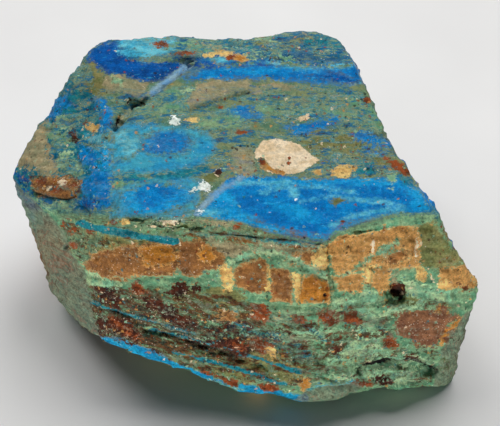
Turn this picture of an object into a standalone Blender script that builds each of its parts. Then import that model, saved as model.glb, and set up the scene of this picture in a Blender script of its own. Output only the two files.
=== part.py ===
# Blue opal: one broken lump of layered opal, standing on a flat break.
# Metres, +Z up, +X along its length, -Y the rough brown front.
# The stone is a block with its breaks taken off as planes, meshed finely, and then
# given the relief of each break: ledges, grooves, lumps, scoops and chipped edges.

import math

import bmesh
import bpy
from mathutils import Vector, noise

MM = 0.001
BLOCK = 200.0

# Each break: the way it looks in plan (degrees from +X), how steep it is (0 looks up,
# 90 is upright, 180 looks down) and a point that it passes through, in mm.
BREAKS = {
    "top": (-90, 8.3, (0, 0, 36.6)),
    "back bevel": (90, 15, (0, 15.6, 38.9)),
    "left facet": (194.2, 37.1, (-22.3, 1.3, 36.8)),
    "front": (-98, 68, (-21.4, -15.1, 34.5)),
    "front, right half": (-73.4, 68, (11.5, -19.6, 33.8)),
    "front, left corner": (-138.3, 73, (-21.4, -15.1, 34.5)),
    "left end": (-146, 87, (-38.3, -1.1, 24.8)),
    "right corner": (-47.5, 84, (35.8, -20, 16.2)),
    "right": (20.7, 71, (17.7, 14.6, 38.7)),
    "right, low": (10, 98.6, (36.8, -18, 20.3)),
    "back": (92, 84, (0, 23.6, 36.7)),
    "back left": (132.8, 90, (-31.2, 17.2, 34)),
    "back left tip": (144.5, 93, (-40.4, 4.3, 24.2)),
    "left, low": (175, 108, (-41.8, 2, 26)),
    "bottom chip": (-80, 98, (14, -30, 7.9)),
    "under front": (-104, 128, (3, -30.4, 5.4)),
    "under front, left": (-118, 130, (-11.4, -27.4, 8.8)),
    "under front, right": (-88, 130, (22, -28.6, 5)),
    "under left": (-130, 137, (-30.2, -16, 6.6)),
    "under back": (100, 132, (0, 25, 13)),
    "under right": (32, 128, (33.5, 0, 5)),
    "resting face": (0, 180, (0, 0, 0)),
}
FRONT = ("front", "front, right half")
OUTER = ("top", "back bevel", "left facet", "front", "front, right half", "front, left corner")
GREY = ("left end", "right corner", "bottom chip")

# Lines of relief, as points in mm: x and y on the upper breaks, x and z on the front.
TOP_RIM = [(-21.4, -15), (-9.3, -15.4), (-2, -16.3), (5.1, -18.8), (11.3, -19.8)]
TOP_RIM += [(13.1, -18.2), (15.4, -17.2), (23.1, -14.7), (29, -14.3)]
CRACK = [(-22.4, 0.9), (-19.6, 5.4), (-16.4, 8.2), (-14.3, 10.3), (-11.8, 12.7), (-9.7, 15)]
TRENCH = [(-21.7, 2.1), (-20.4, 5), (-19.6, 7)]
PALE_LEDGE = [(-8.1, 5.4), (-4.7, 6.8), (-1, 8.4)]
SHELF = [(-38.1, -0.5), (-36.3, -2.8), (-33.3, -5.4), (-29.8, -7.7), (-25, -11.5)]
FRONT_LEDGE = [(-21.5, 33.3), (-16.9, 33.2), (-11.1, 32.9), (-1.4, 33.2), (5.1, 33.2), (11.3, 32.9)]
FRONT_LEDGE += [(13.2, 33), (15.3, 33.3), (19.3, 33.1), (23.2, 32.7), (28.1, 32)]
TEAL_RIDGE = [(-26.6, 32.8), (-23.5, 32.5), (-18.7, 31.9), (-11.5, 31.6)]
WAVE = [(-3, 28.9), (0, 30.6), (2.5, 31.5), (5.1, 30.5), (8.3, 29.6), (11.5, 28.3)]
FRONT_STEP = [(12.1, 33), (12.2, 28.6), (13, 24.5)]
VEIN = [(13.5, 27.7), (17.6, 29.2), (20.7, 29.9), (22.6, 30.7)]
GROOVE = [(-16.2, 15.1), (-12.8, 15), (-9.5, 14), (-6.8, 13.1), (-4, 12.4), (0, 11.5), (2.6, 10.9)]
ARC = [(17.6, 10.1), (19.9, 10.8), (22.5, 10.6), (24.7, 9.8), (27.3, 8.7), (30.7, 6.7)]

# Lumps of the brown band and below: x, z, half width, half height and height, in mm.
FRONT_LUMPS = [
    (-18, 27.6, 7, 3.4, 1.0),
    (-7.2, 28.2, 3.2, 3.2, 0.9),
    (0, 27.0, 3.2, 3.0, 0.9),
    (5, 25.9, 2.4, 2.9, 0.7),
    (10.2, 25.6, 2.8, 2.7, 1.0),
    (10.6, 30.9, 1.9, 2.1, 0.9),
    (17.6, 30, 5.0, 3.2, 0.9),
    (24.2, 27.4, 3.2, 3.1, 0.7),
    (29.2, 15.2, 4.8, 3.8, 0.7),
    (32.6, 22.8, 3.2, 1.8, 0.7),
    (-4.9, 15.3, 5.4, 1.9, 0.8),
    (-21.0, 15.2, 3.0, 2.6, 0.7),
    (-12.5, 21.2, 4.2, 1.7, 0.6),
]
PIT = (23.5, 22.1, 1.6, 2.1, -2.0)
SHELL = (17.6, 14, 4.8, 4.0, -0.8)

# Relief that belongs to one break: lump or scoop centre, half sizes and height, in mm.
# x and y on the upper breaks, x and z on those at the back, y and z on those at the ends.
SCOOPS = {
    "back bevel": [(8, 22.5, 7, 3.6, 1.1), (-13, 21, 6, 3, 0.7), (-2, 20, 3.5, 3, -0.7)],
    "left facet": [(-35.5, 4, 3.4, 5.5, 0.9), (-28, 14, 5, 4.5, 0.8), (-27, 3, 3.5, 6, -0.9)],
    "top": [(-18.4, 6.7, 1.7, 1.1, -1.3), (-18, 12.5, 4, 3.5, -0.7), (5, -4, 5, 3, 0.25)],
    "right": [(0, 27, 21, 17, -1.9), (8, 12, 9, 8, -1.2)],
    "right, low": [(-4, 12, 9, 7, -1.2)],
    "back": [(-8, 22, 17, 13, -2.4), (14, 15, 12, 11, -1.8), (22, 28, 9, 8, 1.0)],
    "back left": [(-27, 20, 7, 13, -1.6)],
    "back left tip": [(-36, 15, 5, 9, -1.0)],
    "left, low": [(2, 14, 7, 8, -1.0)],
    "under front, left": [(-12, 5, 8, 5, -1.0)],
    "under front, right": [(26, 4, 5, 4, -0.8), (10.5, 3, 8, 4.5, 1.5)],
}
# Roughness of each group of breaks: coarse height and length, fine height and length.
ROUGHNESS = {
    "top": (0.28, 11, 0.1, 3.2),
    "back bevel": (0.45, 6, 0.22, 2.6),
    "left facet": (0.6, 7, 0.35, 2.6),
    "front": (0.5, 6.5, 0.3, 2.4),
    "grey": (0.35, 7, 0.16, 2.6),
    "right": (0.4, 10, 0.15, 4),
    "hidden": (0.8, 11, 0.4, 4.5),
}
BED_STREAK = 0.42
BED_TOP = 25.0
BED_FALL = 0.22
CHIPPED_EDGE = 0.55
CHIP_WIDTH = 0.9
FOOT_CLEAR = 0.4
MERGE = 0.02


def facing(azimuth, steepness):
    """The unit vector that a break looks along."""
    a = math.radians(azimuth)
    s = math.radians(steepness)
    return Vector((math.cos(a) * math.sin(s), math.sin(a) * math.sin(s), math.cos(s)))


PLANES = {name: (facing(a, s), facing(a, s).dot(Vector(p))) for name, (a, s, p) in BREAKS.items()}


def smooth(low, high, value):
    """0 below low, 1 above high and an S-curve between them."""
    t = min(1.0, max(0.0, (value - low) / (high - low)))
    return t * t * (3 - 2 * t)


def nearest(line, u, v):
    """Distance from a line, the side (+ is left of its direction), and 0 past its ends or 1 beside it."""
    best = None
    for i in range(len(line) - 1):
        (au, av), (bu, bv) = line[i], line[i + 1]
        du, dv = bu - au, bv - av
        t = ((u - au) * du + (v - av) * dv) / (du * du + dv * dv)
        inside = min(1.0, max(0.0, t))
        off_u, off_v = u - au - inside * du, v - av - inside * dv
        gap = math.hypot(off_u, off_v)
        if best is None or gap < best[0]:
            past = (i == 0 and t < 0) or (i == len(line) - 2 and t > 1)
            best = (gap, math.copysign(1, du * off_v - dv * off_u), 0.0 if past else 1.0)
    return best


def groove(line, u, v, depth, width):
    gap, _, _ = nearest(line, u, v)
    return -depth * math.exp(-((gap / width) ** 2))


def ledge(line, u, v, drop, reach, ramp=0.5, low_side=-1):
    """The low side of the line lies lower by drop, and comes back up over reach."""
    gap, side, beside = nearest(line, u, v)
    if side != low_side:
        return 0.0
    beside = max(beside, 1 - smooth(0, 2, gap))
    return -drop * smooth(0, ramp, gap) * (1 - smooth(ramp, reach, gap)) * beside


def cap(lump, u, v):
    """A lump with a steep rim, or a scoop when its height is negative."""
    cu, cv, half_u, half_v, height = lump
    r2 = ((u - cu) / half_u) ** 2 + ((v - cv) / half_v) ** 2
    return height * math.sqrt(max(0.0, 1 - r2))


def dish(lump, u, v):
    """A scoop or swelling with a soft rim."""
    cu, cv, half_u, half_v, height = lump
    r2 = ((u - cu) / half_u) ** 2 + ((v - cv) / half_v) ** 2
    return height * max(0.0, 1 - r2) ** 1.3


def roughness(name, p):
    if name in FRONT or name == "front, left corner":
        group = "front"
    elif name in ROUGHNESS:
        group = name
    else:
        group = "grey" if name in GREY else "hidden"
    coarse, coarse_size, fine, fine_size = ROUGHNESS[group]
    shift = Vector((3.1, 7.7, 1.3))
    return coarse * noise.noise(p / coarse_size + shift) + fine * noise.noise(p / fine_size - shift)


def streaks(p):
    """Layers that stand out of the lower front as thin ribs, falling a little to the right."""
    across = (p.z + BED_FALL * p.x) / 1.9
    along = Vector((p.x / 11, 0.7 * p.y / 11, across))
    return BED_STREAK * noise.noise(along) * (1 - smooth(BED_TOP - 5, BED_TOP, p.z))


def relief_top(x, y):
    height = ledge(TOP_RIM, x, y, 0.9, 30, ramp=2.2)
    height += ledge(CRACK, x, y, 1.1, 5.5, ramp=0.6, low_side=1)
    height += groove(TRENCH, x, y, 0.9, 0.8)
    height += ledge(PALE_LEDGE, x, y, 0.5, 3.5)
    return height


def relief_front(x, z):
    height = ledge(FRONT_LEDGE, x, z, 1.1, 7)
    height += groove(TEAL_RIDGE, x, z, -0.6, 0.8)
    height += groove(WAVE, x, z, -0.5, 0.9)
    height += ledge(FRONT_STEP, x, z, 0.8, 3.5, low_side=1)
    height += groove(VEIN, x, z, 0.5, 0.6)
    height += groove(GROOVE, x, z, 1.1, 0.7)
    height += ledge(ARC, x, z, 0.9, 4.5)
    height += max(cap(lump, x, z) for lump in FRONT_LUMPS)
    return height + cap(PIT, x, z) + dish(SHELL, x, z)


def scoops(name, p):
    if name in ("top", "back bevel", "left facet"):
        u, v = p.x, p.y
    elif name in ("right", "right, low", "left, low"):
        u, v = p.y, p.z
    else:
        u, v = p.x, p.z
    return sum(dish(lump, u, v) for lump in SCOOPS.get(name, []))


def chips(name, p):
    """Edges are bruised and chipped, most where the noise says so."""
    edge = min(d - n.dot(p) for other, (n, d) in PLANES.items() if other != name)
    size = 3.3 if name in OUTER or name in GREY else 8
    bite = 0.6 + 1.1 * noise.noise(p / size)
    return -CHIPPED_EDGE * max(0.0, bite) * math.exp(-((edge / CHIP_WIDTH) ** 2))


def height_on(name, p):
    """How far the stone stands out of one break's plane at a point, in mm."""
    height = roughness(name, p) + chips(name, p) + scoops(name, p)
    if name == "top":
        height += relief_top(p.x, p.y)
    if name == "left facet":
        height += ledge(SHELF, p.x, p.y, 1.3, 5)
    if name in FRONT:
        height += relief_front(p.x, p.z)
    if name == "front, left corner":
        height += groove(TEAL_RIDGE, p.x, p.z, -0.6, 0.8)
    if name in FRONT or name in GREY or name == "front, left corner":
        height += streaks(p)
    return height


def breaks_at(p):
    return [name for name, (n, d) in PLANES.items() if abs(n.dot(p) - d) < MERGE]


def longest_edge(p):
    """The mesh is fine along ledges and grooves, and coarse where the stone is plain."""
    names = breaks_at(p)
    if names == ["resting face"]:
        return 12
    if not any(name in OUTER or name in GREY for name in names):
        return 3.8
    gaps = [99.0]
    if "top" in names:
        gaps += [nearest(line, p.x, p.y)[0] for line in (TOP_RIM, CRACK, TRENCH, PALE_LEDGE)]
    if "left facet" in names:
        gaps.append(nearest(SHELF, p.x, p.y)[0])
    if any(name in FRONT for name in names):
        lines = (FRONT_LEDGE, FRONT_STEP, GROOVE, ARC, VEIN, WAVE, TEAL_RIDGE)
        gaps += [nearest(line, p.x, p.z)[0] for line in lines]
        gaps.append(math.hypot(p.x - PIT[0], p.z - PIT[1]) - 1)
    base = 3.4 if names == ["top"] else 2.8
    return min(base, 1.2 + 0.5 * max(0.0, min(gaps)))


def broken_block():
    """A block with every break taken off it as a plane, in mm."""
    bm = bmesh.new()
    bmesh.ops.create_cube(bm, size=BLOCK)
    for azimuth, steepness, point in BREAKS.values():
        cut = bmesh.ops.bisect_plane(
            bm,
            geom=bm.verts[:] + bm.edges[:] + bm.faces[:],
            plane_co=point,
            plane_no=facing(azimuth, steepness),
            clear_outer=True,
        )
        rim = [e for e in cut["geom_cut"] if isinstance(e, bmesh.types.BMEdge)]
        bmesh.ops.contextual_create(bm, geom=rim)
    bmesh.ops.remove_doubles(bm, verts=bm.verts[:], dist=0.4)
    bmesh.ops.recalc_face_normals(bm, faces=bm.faces[:])
    return bm


def refine(bm):
    """Splits long edges until the mesh follows longest_edge, and evens it out."""
    bmesh.ops.triangulate(bm, faces=bm.faces[:])
    for _ in range(12):
        middles = {e: (e.verts[0].co + e.verts[1].co) / 2 for e in bm.edges}
        long = [e for e, middle in middles.items() if e.calc_length() > longest_edge(middle)]
        if not long:
            break
        bmesh.ops.subdivide_edges(bm, edges=long, cuts=1)
        bmesh.ops.triangulate(bm, faces=[f for f in bm.faces if len(f.verts) > 3])
        flat = [e for e in bm.edges if e.calc_face_angle(0) < 0.002]
        bmesh.ops.beautify_fill(bm, faces=bm.faces[:], edges=flat, method="ANGLE")
        inner = [v for v in bm.verts if len(breaks_at(v.co)) == 1]
        bmesh.ops.smooth_vert(bm, verts=inner, factor=0.4, use_axis_x=True, use_axis_y=True, use_axis_z=True)
    bmesh.ops.dissolve_degenerate(bm, dist=0.05, edges=bm.edges[:])
    bmesh.ops.triangulate(bm, faces=[f for f in bm.faces if len(f.verts) > 3])


def carve(bm):
    """Moves each point along the breaks that it lies on, by their relief. The foot stays flat."""
    foot = [f for f in bm.faces if all("resting face" in breaks_at(v.co) for v in f.verts)]
    bmesh.ops.dissolve_faces(bm, faces=foot)
    for vert in bm.verts:
        names = breaks_at(vert.co)
        offset = Vector((0, 0, 0))
        for name in names:
            if name != "resting face":
                offset += PLANES[name][0] * height_on(name, vert.co)
        place = vert.co + offset
        height = 0.0 if "resting face" in names else max(place.z, FOOT_CLEAR * vert.co.z)
        vert.co = (place.x, place.y, height)
    bmesh.ops.triangulate(bm, faces=[f for f in bm.faces if len(f.verts) > 3])


def centre(bm):
    """Puts the middle of the stone's box over the origin."""
    xs = [v.co.x for v in bm.verts]
    ys = [v.co.y for v in bm.verts]
    middle = Vector(((min(xs) + max(xs)) / 2, (min(ys) + max(ys)) / 2, 0))
    bmesh.ops.translate(bm, vec=-middle, verts=bm.verts[:])
    return middle


def opal_material():
    material = bpy.data.materials.new("opal")
    material.use_nodes = True
    shader = material.node_tree.nodes["Principled BSDF"]
    shader.inputs["Base Color"].default_value = (0.06, 0.3, 0.42, 1)
    shader.inputs["Roughness"].default_value = 0.42
    shader.inputs["Metallic"].default_value = 0
    return material


def make_stone(collection):
    bm = broken_block()
    refine(bm)
    carve(bm)
    middle = centre(bm)
    print("middle of the box, mm:", tuple(round(c, 3) for c in middle))
    bmesh.ops.scale(bm, vec=(MM, MM, MM), verts=bm.verts[:])
    mesh = bpy.data.meshes.new("blue_opal")
    bm.to_mesh(mesh)
    bm.free()
    mesh.materials.append(opal_material())
    stone = bpy.data.objects.new("blue_opal", mesh)
    collection.objects.link(stone)


def main():
    for old in list(bpy.data.objects):
        bpy.data.objects.remove(old)
    collection = bpy.data.collections.new("blue opal")
    bpy.context.scene.collection.children.link(collection)
    make_stone(collection)


main()
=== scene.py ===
# %% [markdown]
# # A lump of blue opal
# The stone is one broken piece of layered opal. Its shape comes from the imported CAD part, which this
# script loads as a fixed frame. What is made here is its surface: a finer skin over the same shape,
# cracks and pits, the coloured layers and patches, and the waxy gloss.

# %% Load the frame
import math

import bmesh
import bpy
import numpy as np
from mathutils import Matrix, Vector, noise


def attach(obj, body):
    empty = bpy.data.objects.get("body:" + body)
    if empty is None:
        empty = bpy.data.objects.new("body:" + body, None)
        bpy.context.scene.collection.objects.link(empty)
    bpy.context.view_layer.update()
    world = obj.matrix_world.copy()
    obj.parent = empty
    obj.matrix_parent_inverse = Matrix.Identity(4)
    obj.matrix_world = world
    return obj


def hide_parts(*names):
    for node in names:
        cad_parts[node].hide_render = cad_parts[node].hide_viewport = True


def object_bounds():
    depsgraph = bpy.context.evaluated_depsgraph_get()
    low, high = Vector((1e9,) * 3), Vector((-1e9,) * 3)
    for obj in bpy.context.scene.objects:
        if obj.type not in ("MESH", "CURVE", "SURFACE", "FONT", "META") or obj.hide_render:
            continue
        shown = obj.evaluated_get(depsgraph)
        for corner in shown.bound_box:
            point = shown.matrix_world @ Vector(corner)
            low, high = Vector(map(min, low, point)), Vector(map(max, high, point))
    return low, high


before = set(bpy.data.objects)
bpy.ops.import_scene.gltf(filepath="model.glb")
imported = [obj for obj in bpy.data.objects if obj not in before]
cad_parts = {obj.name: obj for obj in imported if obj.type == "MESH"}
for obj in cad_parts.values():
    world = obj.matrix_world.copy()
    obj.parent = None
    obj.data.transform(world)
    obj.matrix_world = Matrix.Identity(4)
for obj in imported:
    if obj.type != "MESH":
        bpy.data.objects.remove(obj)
cad_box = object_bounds()
MM = 0.001
print("box of the part, mm:", [round(c / MM, 1) for corner in cad_box for c in corner])

# %% [markdown]
# ## The camera
# The photo looks down on the stone at about 50 degrees from close by. A camera could be placed by hand,
# but here its place is worked out from an angle, a distance in mm and a focal length in pixels, because
# the same numbers are used again below to find which point of the stone lies behind a point of the photo.

# %% Camera
PHOTO_WIDTH, PHOTO_HEIGHT = 500, 426
LOOKS_DOWN = math.radians(50)
DISTANCE = 230.0
FOCAL_PIXELS = 1337.0
TARGET = Vector((1.625, 1.56, 17.0))
SENSOR = 36.0
CLIP_METRES = (0.01, 10.0)
PIXEL = 0.172  # mm on the stone

camera_back = Vector((0, -math.cos(LOOKS_DOWN), math.sin(LOOKS_DOWN)))
camera_right = Vector((1, 0, 0))
camera_up = camera_back.cross(camera_right)
camera_place = TARGET + camera_back * DISTANCE

lens = bpy.data.cameras.new("camera")
lens.sensor_fit = "HORIZONTAL"
lens.sensor_width = SENSOR
lens.lens = SENSOR * FOCAL_PIXELS / PHOTO_WIDTH
lens.clip_start, lens.clip_end = CLIP_METRES
camera = bpy.data.objects.new("camera", lens)
camera.location = camera_place * MM
camera.rotation_euler = camera_back.to_track_quat("Z", "Y").to_euler()
bpy.context.scene.collection.objects.link(camera)
bpy.context.scene.camera = camera
print("lens, mm:", round(lens.lens, 1))


def in_photo(points):
    """Where points in mm are seen in the photo: x to the right and y down, in its pixels."""
    away = points - np.array(camera_place)
    depth = away @ -np.array(camera_back)
    x = PHOTO_WIDTH / 2 + FOCAL_PIXELS * (away @ np.array(camera_right)) / depth
    y = PHOTO_HEIGHT / 2 - FOCAL_PIXELS * (away @ np.array(camera_up)) / depth
    return np.stack([x, y], axis=1)


# %% [markdown]
# ## The studio
# The stone stands on a plain pale table. The light comes from two large soft panels above and behind it,
# one to the right and one to the left, so the shadow falls towards the viewer with a soft edge on both
# sides. A small panel low in front lights the front face a little, and a dim bluish sky fills the shade.
# There are two panels because the shadow of a single one spread too far to one side.

# %% Studio
TABLE_HALF = 2.0  # metres
TABLE_SQUARES = 8
TABLE_COLOUR = (0.80, 0.785, 0.765, 1)
SKY_COLOUR = (0.50, 0.70, 1.0, 1)
SKY_STRENGTH = 0.055
PANELS = [
    # name, place in mm, size in mm, power in watts
    ("right panel", (310, 618, 1030), 840, 10.8),
    ("left panel", (-488, 586, 978), 840, 8.0),
    ("front fill", (-100, -900, 28), 60, 3.7),
]

scene = bpy.context.scene
scene.view_settings.view_transform = "Standard"
table_mesh = bpy.data.meshes.new("table")
table_shape = bmesh.new()
bmesh.ops.create_grid(table_shape, x_segments=TABLE_SQUARES, y_segments=TABLE_SQUARES, size=TABLE_HALF)
table_shape.to_mesh(table_mesh)
table_shape.free()
table = bpy.data.objects.new("table", table_mesh)
scene.collection.objects.link(table)

world = bpy.data.worlds.new("soft sky")
world.use_nodes = True
world.node_tree.nodes["Background"].inputs["Color"].default_value = SKY_COLOUR
world.node_tree.nodes["Background"].inputs["Strength"].default_value = SKY_STRENGTH
scene.world = world

for name, place, size, power in PANELS:
    panel = bpy.data.lights.new(name, "AREA")
    panel.shape = "DISK"
    panel.size = size * MM
    panel.energy = power
    lamp = bpy.data.objects.new(name, panel)
    lamp.location = Vector(place) * MM
    lamp.rotation_euler = (Vector(place) - TARGET).to_track_quat("Z", "Y").to_euler()
    scene.collection.objects.link(lamp)
print("panels:", len(PANELS))

# %% [markdown]
# ## Shapes drawn over the photo
# Cracks and coloured patches follow places in the photo. Each is written as a few
# points in the photo's pixels: an area with corners, a lens (an ellipse), or a line. The functions below
# tell how far every point of the stone is inside such a shape, in mm. A distance keeps an edge sharp
# even where the mesh is coarse, which a painted colour would not.


# %% How far inside a shape
FAR, TINY = 1e9, 1e-9


def along_line(spots, line):
    """Distance from a line in pixels, plus below one that runs right, and 1 beside it or 0 past its ends."""
    corners = np.reshape(line, (-1, 2)).astype(float)
    best = np.full(len(spots), FAR)
    side = np.ones(len(spots))
    beside = np.ones(len(spots))
    for i, (a, b) in enumerate(zip(corners[:-1], corners[1:])):
        run = b - a
        t = (spots - a) @ run / (run @ run)
        off = spots - a - np.clip(t, 0, 1)[:, None] * run
        gap = np.hypot(off[:, 0], off[:, 1])
        nearer = gap < best
        best[nearer] = gap[nearer]
        side[nearer] = np.sign(run[0] * off[:, 1] - run[1] * off[:, 0])[nearer]
        past = ((t < 0) & (i == 0)) | ((t > 1) & (i == len(corners) - 2))
        beside[nearer] = np.where(past, 0.0, 1.0)[nearer]
    return best * np.where(side == 0, 1, side), beside


def inside_area(spots, outline):
    """How far inside a closed outline the spots are, in pixels; below 0 is outside."""
    corners = np.reshape(outline, (-1, 2)).astype(float)
    nearest = np.full(len(spots), FAR)
    inside = np.zeros(len(spots), bool)
    for a, b in zip(corners, np.roll(corners, -1, axis=0)):
        run = b - a
        t = np.clip((spots - a) @ run / max(run @ run, TINY), 0, 1)
        off = spots - a - t[:, None] * run
        nearest = np.minimum(nearest, np.hypot(off[:, 0], off[:, 1]))
        crosses = (a[1] > spots[:, 1]) != (b[1] > spots[:, 1])
        if a[1] != b[1]:
            inside ^= crosses & (spots[:, 0] < run[0] * (spots[:, 1] - a[1]) / run[1] + a[0])
    return np.where(inside, nearest, -nearest)


def inside_lens(spots, x, y, half_long, half_short, turn=0):
    """As inside_area, for an ellipse; turn is in degrees, plus lifts its right end."""
    a = math.radians(turn)
    u = (spots[:, 0] - x) * math.cos(a) - (spots[:, 1] - y) * math.sin(a)
    v = (spots[:, 0] - x) * math.sin(a) + (spots[:, 1] - y) * math.cos(a)
    return (1 - np.hypot(u / half_long, v / half_short)) * min(half_long, half_short)


def inside_line(spots, width, line):
    """As inside_area, for a line with a width in pixels."""
    gap, _ = along_line(spots, line)
    return width / 2 - np.abs(gap)


def inside(spots, kind, numbers):
    """How far inside a shape of any kind the spots are, in mm."""
    if kind == "lens":
        return inside_lens(spots, *numbers) * PIXEL
    if kind == "line":
        return inside_line(spots, numbers[0], numbers[1:]) * PIXEL
    return inside_area(spots, numbers) * PIXEL


def smooth(low, high, value):
    """0 below low, 1 above high and an S-curve between them."""
    t = np.clip((value - low) / (high - low), 0, 1)
    return t * t * (3 - 2 * t)


# %% [markdown]
# ## Cracks, ledges and pits
# The big ledges are in the CAD part. Here they get crisp lips, and the narrow cracks and small holes of
# the photo are added. A crack has a depth and a half width in mm, a lip drops away on the lower side of
# its line in the photo, and a pit is a round hole.

# %% Cracks, ledges and pits
CRACKS = [
    # depth, half width, then the line in the photo
    (0.30, 0.24, (140, 224, 147, 221, 154, 224, 162, 226)),
    (0.50, 0.30, (30, 192, 47, 198, 66, 199, 76, 196)),
    (0.20, 0.22, (146, 331, 175, 336, 191, 342, 207, 347, 225, 354, 250, 362, 268, 369)),
    (0.75, 0.34, (358, 371, 371, 365, 387, 361, 409, 362, 424, 365, 437, 371)),
    (0.25, 0.22, (329, 242, 329, 258, 330, 276, 333, 302)),
    (0.22, 0.20, (177, 238, 179, 254, 176, 268)),
    (0.25, 0.20, (268, 268, 269, 282, 266, 300)),
    (0.28, 0.20, (303, 272, 301, 288, 297, 306)),
    (0.25, 0.20, (373, 266, 371, 280, 373, 292)),
    (0.35, 0.26, (97, 309, 116, 312, 131, 318, 146, 331)),
    (0.35, 0.24, (188, 341, 200, 346, 222, 350, 236, 356)),
    (0.30, 0.24, (304, 372, 322, 378, 340, 384)),
]
LIPS = [
    # drop, reach in mm, then the line in the photo
    (0.50, 1.6, (111, 130, 130, 107, 150, 93, 163, 83, 179, 71, 192, 60)),
    (0.30, 1.8, (166, 229, 205, 230, 252, 234, 284, 237, 325, 243)),
    (0.30, 1.8, (335, 238, 350, 232, 377, 228, 430, 223)),
    (0.40, 1.4, (231, 262, 250, 255, 268, 252, 290, 257, 306, 267, 328, 279)),
    (0.30, 1.5, (188, 108, 207, 102, 226, 96, 250, 89)),
    (0.50, 1.6, (358, 371, 387, 361, 409, 362, 437, 371)),
    (0.35, 1.4, (336, 302, 354, 304, 362, 314, 380, 318, 394, 312)),
    (0.35, 1.2, (80, 268, 96, 278, 121, 282, 145, 277, 175, 277, 200, 279, 223, 268)),
    (0.35, 1.2, (269, 301, 298, 306, 330, 307)),
    (0.40, 1.2, (300, 398, 306, 391, 326, 386, 353, 384)),
]
PITS = [
    # x, y and radius in the photo's pixels, and depth in mm
    (398, 291, 9, 1.5), (402, 298, 6, 1.2), (65, 247, 3, 0.7), (346, 127, 3, 0.6), (357, 144, 2.5, 0.5),
    (369, 169, 3.2, 0.7), (370, 176, 2.8, 0.7), (315, 112, 2.6, 0.5), (325, 295, 4, 0.7), (383, 207, 2, 0.4),
    (337, 201, 3, 0.4), (278, 132, 2.4, 0.5), (61, 300, 2.4, 0.5), (337, 348, 2.2, 0.5), (300, 320, 4, 0.6),
    (229, 300, 5, 0.8), (173, 232, 6, 0.7), (142, 222, 3, 0.6), (118, 121, 4, 0.8), (289, 159, 1.4, 0.3),
    (466, 288, 3, 0.5), (245, 145, 2, 0.4), (253, 137, 2.2, 0.5), (231, 57, 2.4, 0.4), (388, 382, 3, 0.5),
]
print("cracks:", len(CRACKS), "lips:", len(LIPS), "pits:", len(PITS))

# %% [markdown]
# ## A finer skin
# The part's triangles are a few mm long. A copy of it is rounded once with Subdivision Surface, and its
# long edges are then split until the seen side has an edge about every 0.6 mm and a crack has more.
# Splitting only where it is needed gives fine detail without a heavy mesh.

# %% Fine mesh
SEEN_EDGE, CRACK_EDGE, HIDDEN_EDGE = 0.60, 0.34, 1.15
RIM_ANGLE, RIM_CREASE = math.radians(38), 0.5
SAME_PLACE = 1e-6
JUST_BEHIND = -0.05  # seen nearly edge on, from just behind
NEAR_CRACK, NEAR_PIT = 5, 3  # pixels
SPLITS = 4


def rounded_copy(node):
    """A copy of the part's mesh, rounded once, with its sharp rims kept fairly sharp."""
    bm = bmesh.new()
    bm.from_mesh(node.data)
    bmesh.ops.remove_doubles(bm, verts=bm.verts[:], dist=SAME_PLACE)
    crease = bm.edges.layers.float.new("crease_edge")
    for edge in bm.edges:
        if edge.calc_face_angle(0) > RIM_ANGLE:
            edge[crease] = RIM_CREASE
    mesh = bpy.data.meshes.new("opal_stone")
    bm.to_mesh(mesh)
    bm.free()
    piece = bpy.data.objects.new("opal_stone", mesh)
    scene.collection.objects.link(piece)
    rounding = piece.modifiers.new("rounding", "SUBSURF")
    rounding.levels = rounding.render_levels = 1
    graph = bpy.context.evaluated_depsgraph_get()
    finer = bpy.data.meshes.new_from_object(piece.evaluated_get(graph))
    piece.modifiers.clear()
    piece.data = finer
    return piece


def toward_camera(points, normals):
    """1 where the surface looks straight at the camera, 0 where it is seen edge on, and less behind."""
    away = np.array(camera_place) - points
    away /= np.linalg.norm(away, axis=1)[:, None]
    return np.sum(away * normals, axis=1)


def edge_wanted(middles, normals):
    """The longest edge that is left unsplit at each place, in mm."""
    spots = in_photo(middles)
    on_seen_side = toward_camera(middles, normals) > JUST_BEHIND
    near_detail = np.zeros(len(spots), bool)
    for _, _, *line in CRACKS:
        gap, _ = along_line(spots, line)
        near_detail |= np.abs(gap) < NEAR_CRACK
    for x, y, radius, _ in PITS:
        near_detail |= np.hypot(spots[:, 0] - x, spots[:, 1] - y) < radius + NEAR_PIT
    return np.where(on_seen_side, np.where(near_detail, CRACK_EDGE, SEEN_EDGE), HIDDEN_EDGE)


stone = rounded_copy(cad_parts["blue_opal"])
skin = bmesh.new()
skin.from_mesh(stone.data)
bmesh.ops.scale(skin, vec=(1 / MM,) * 3, verts=skin.verts[:])
bmesh.ops.triangulate(skin, faces=skin.faces[:])
for _ in range(SPLITS):
    skin.normal_update()
    edges = skin.edges[:]
    ends = np.array([(*e.verts[0].co, *e.verts[1].co) for e in edges])
    normals = np.array([e.verts[0].normal for e in edges])
    lengths = np.linalg.norm(ends[:, :3] - ends[:, 3:], axis=1)
    too_long = lengths > edge_wanted((ends[:, :3] + ends[:, 3:]) / 2, normals)
    if not too_long.any():
        break
    bmesh.ops.subdivide_edges(skin, edges=[edges[i] for i in np.flatnonzero(too_long)], cuts=1)
    bmesh.ops.triangulate(skin, faces=[f for f in skin.faces if len(f.verts) > 3])
bmesh.ops.smooth_vert(
    skin, verts=skin.verts[:], factor=0.5, use_axis_x=True, use_axis_y=True, use_axis_z=True
)
skin.normal_update()
print("triangles of the skin:", len(skin.faces))

# %% [markdown]
# ## Broken surface
# Opal breaks in small shells and flat chips, and its layers weather to fine steps. All of it is height
# along the surface's own direction: noise for the grain, tilted cells for the chips, and a saw-tooth
# across the layers for the steps. The top break and the grey ends are smoother than the front.

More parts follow.
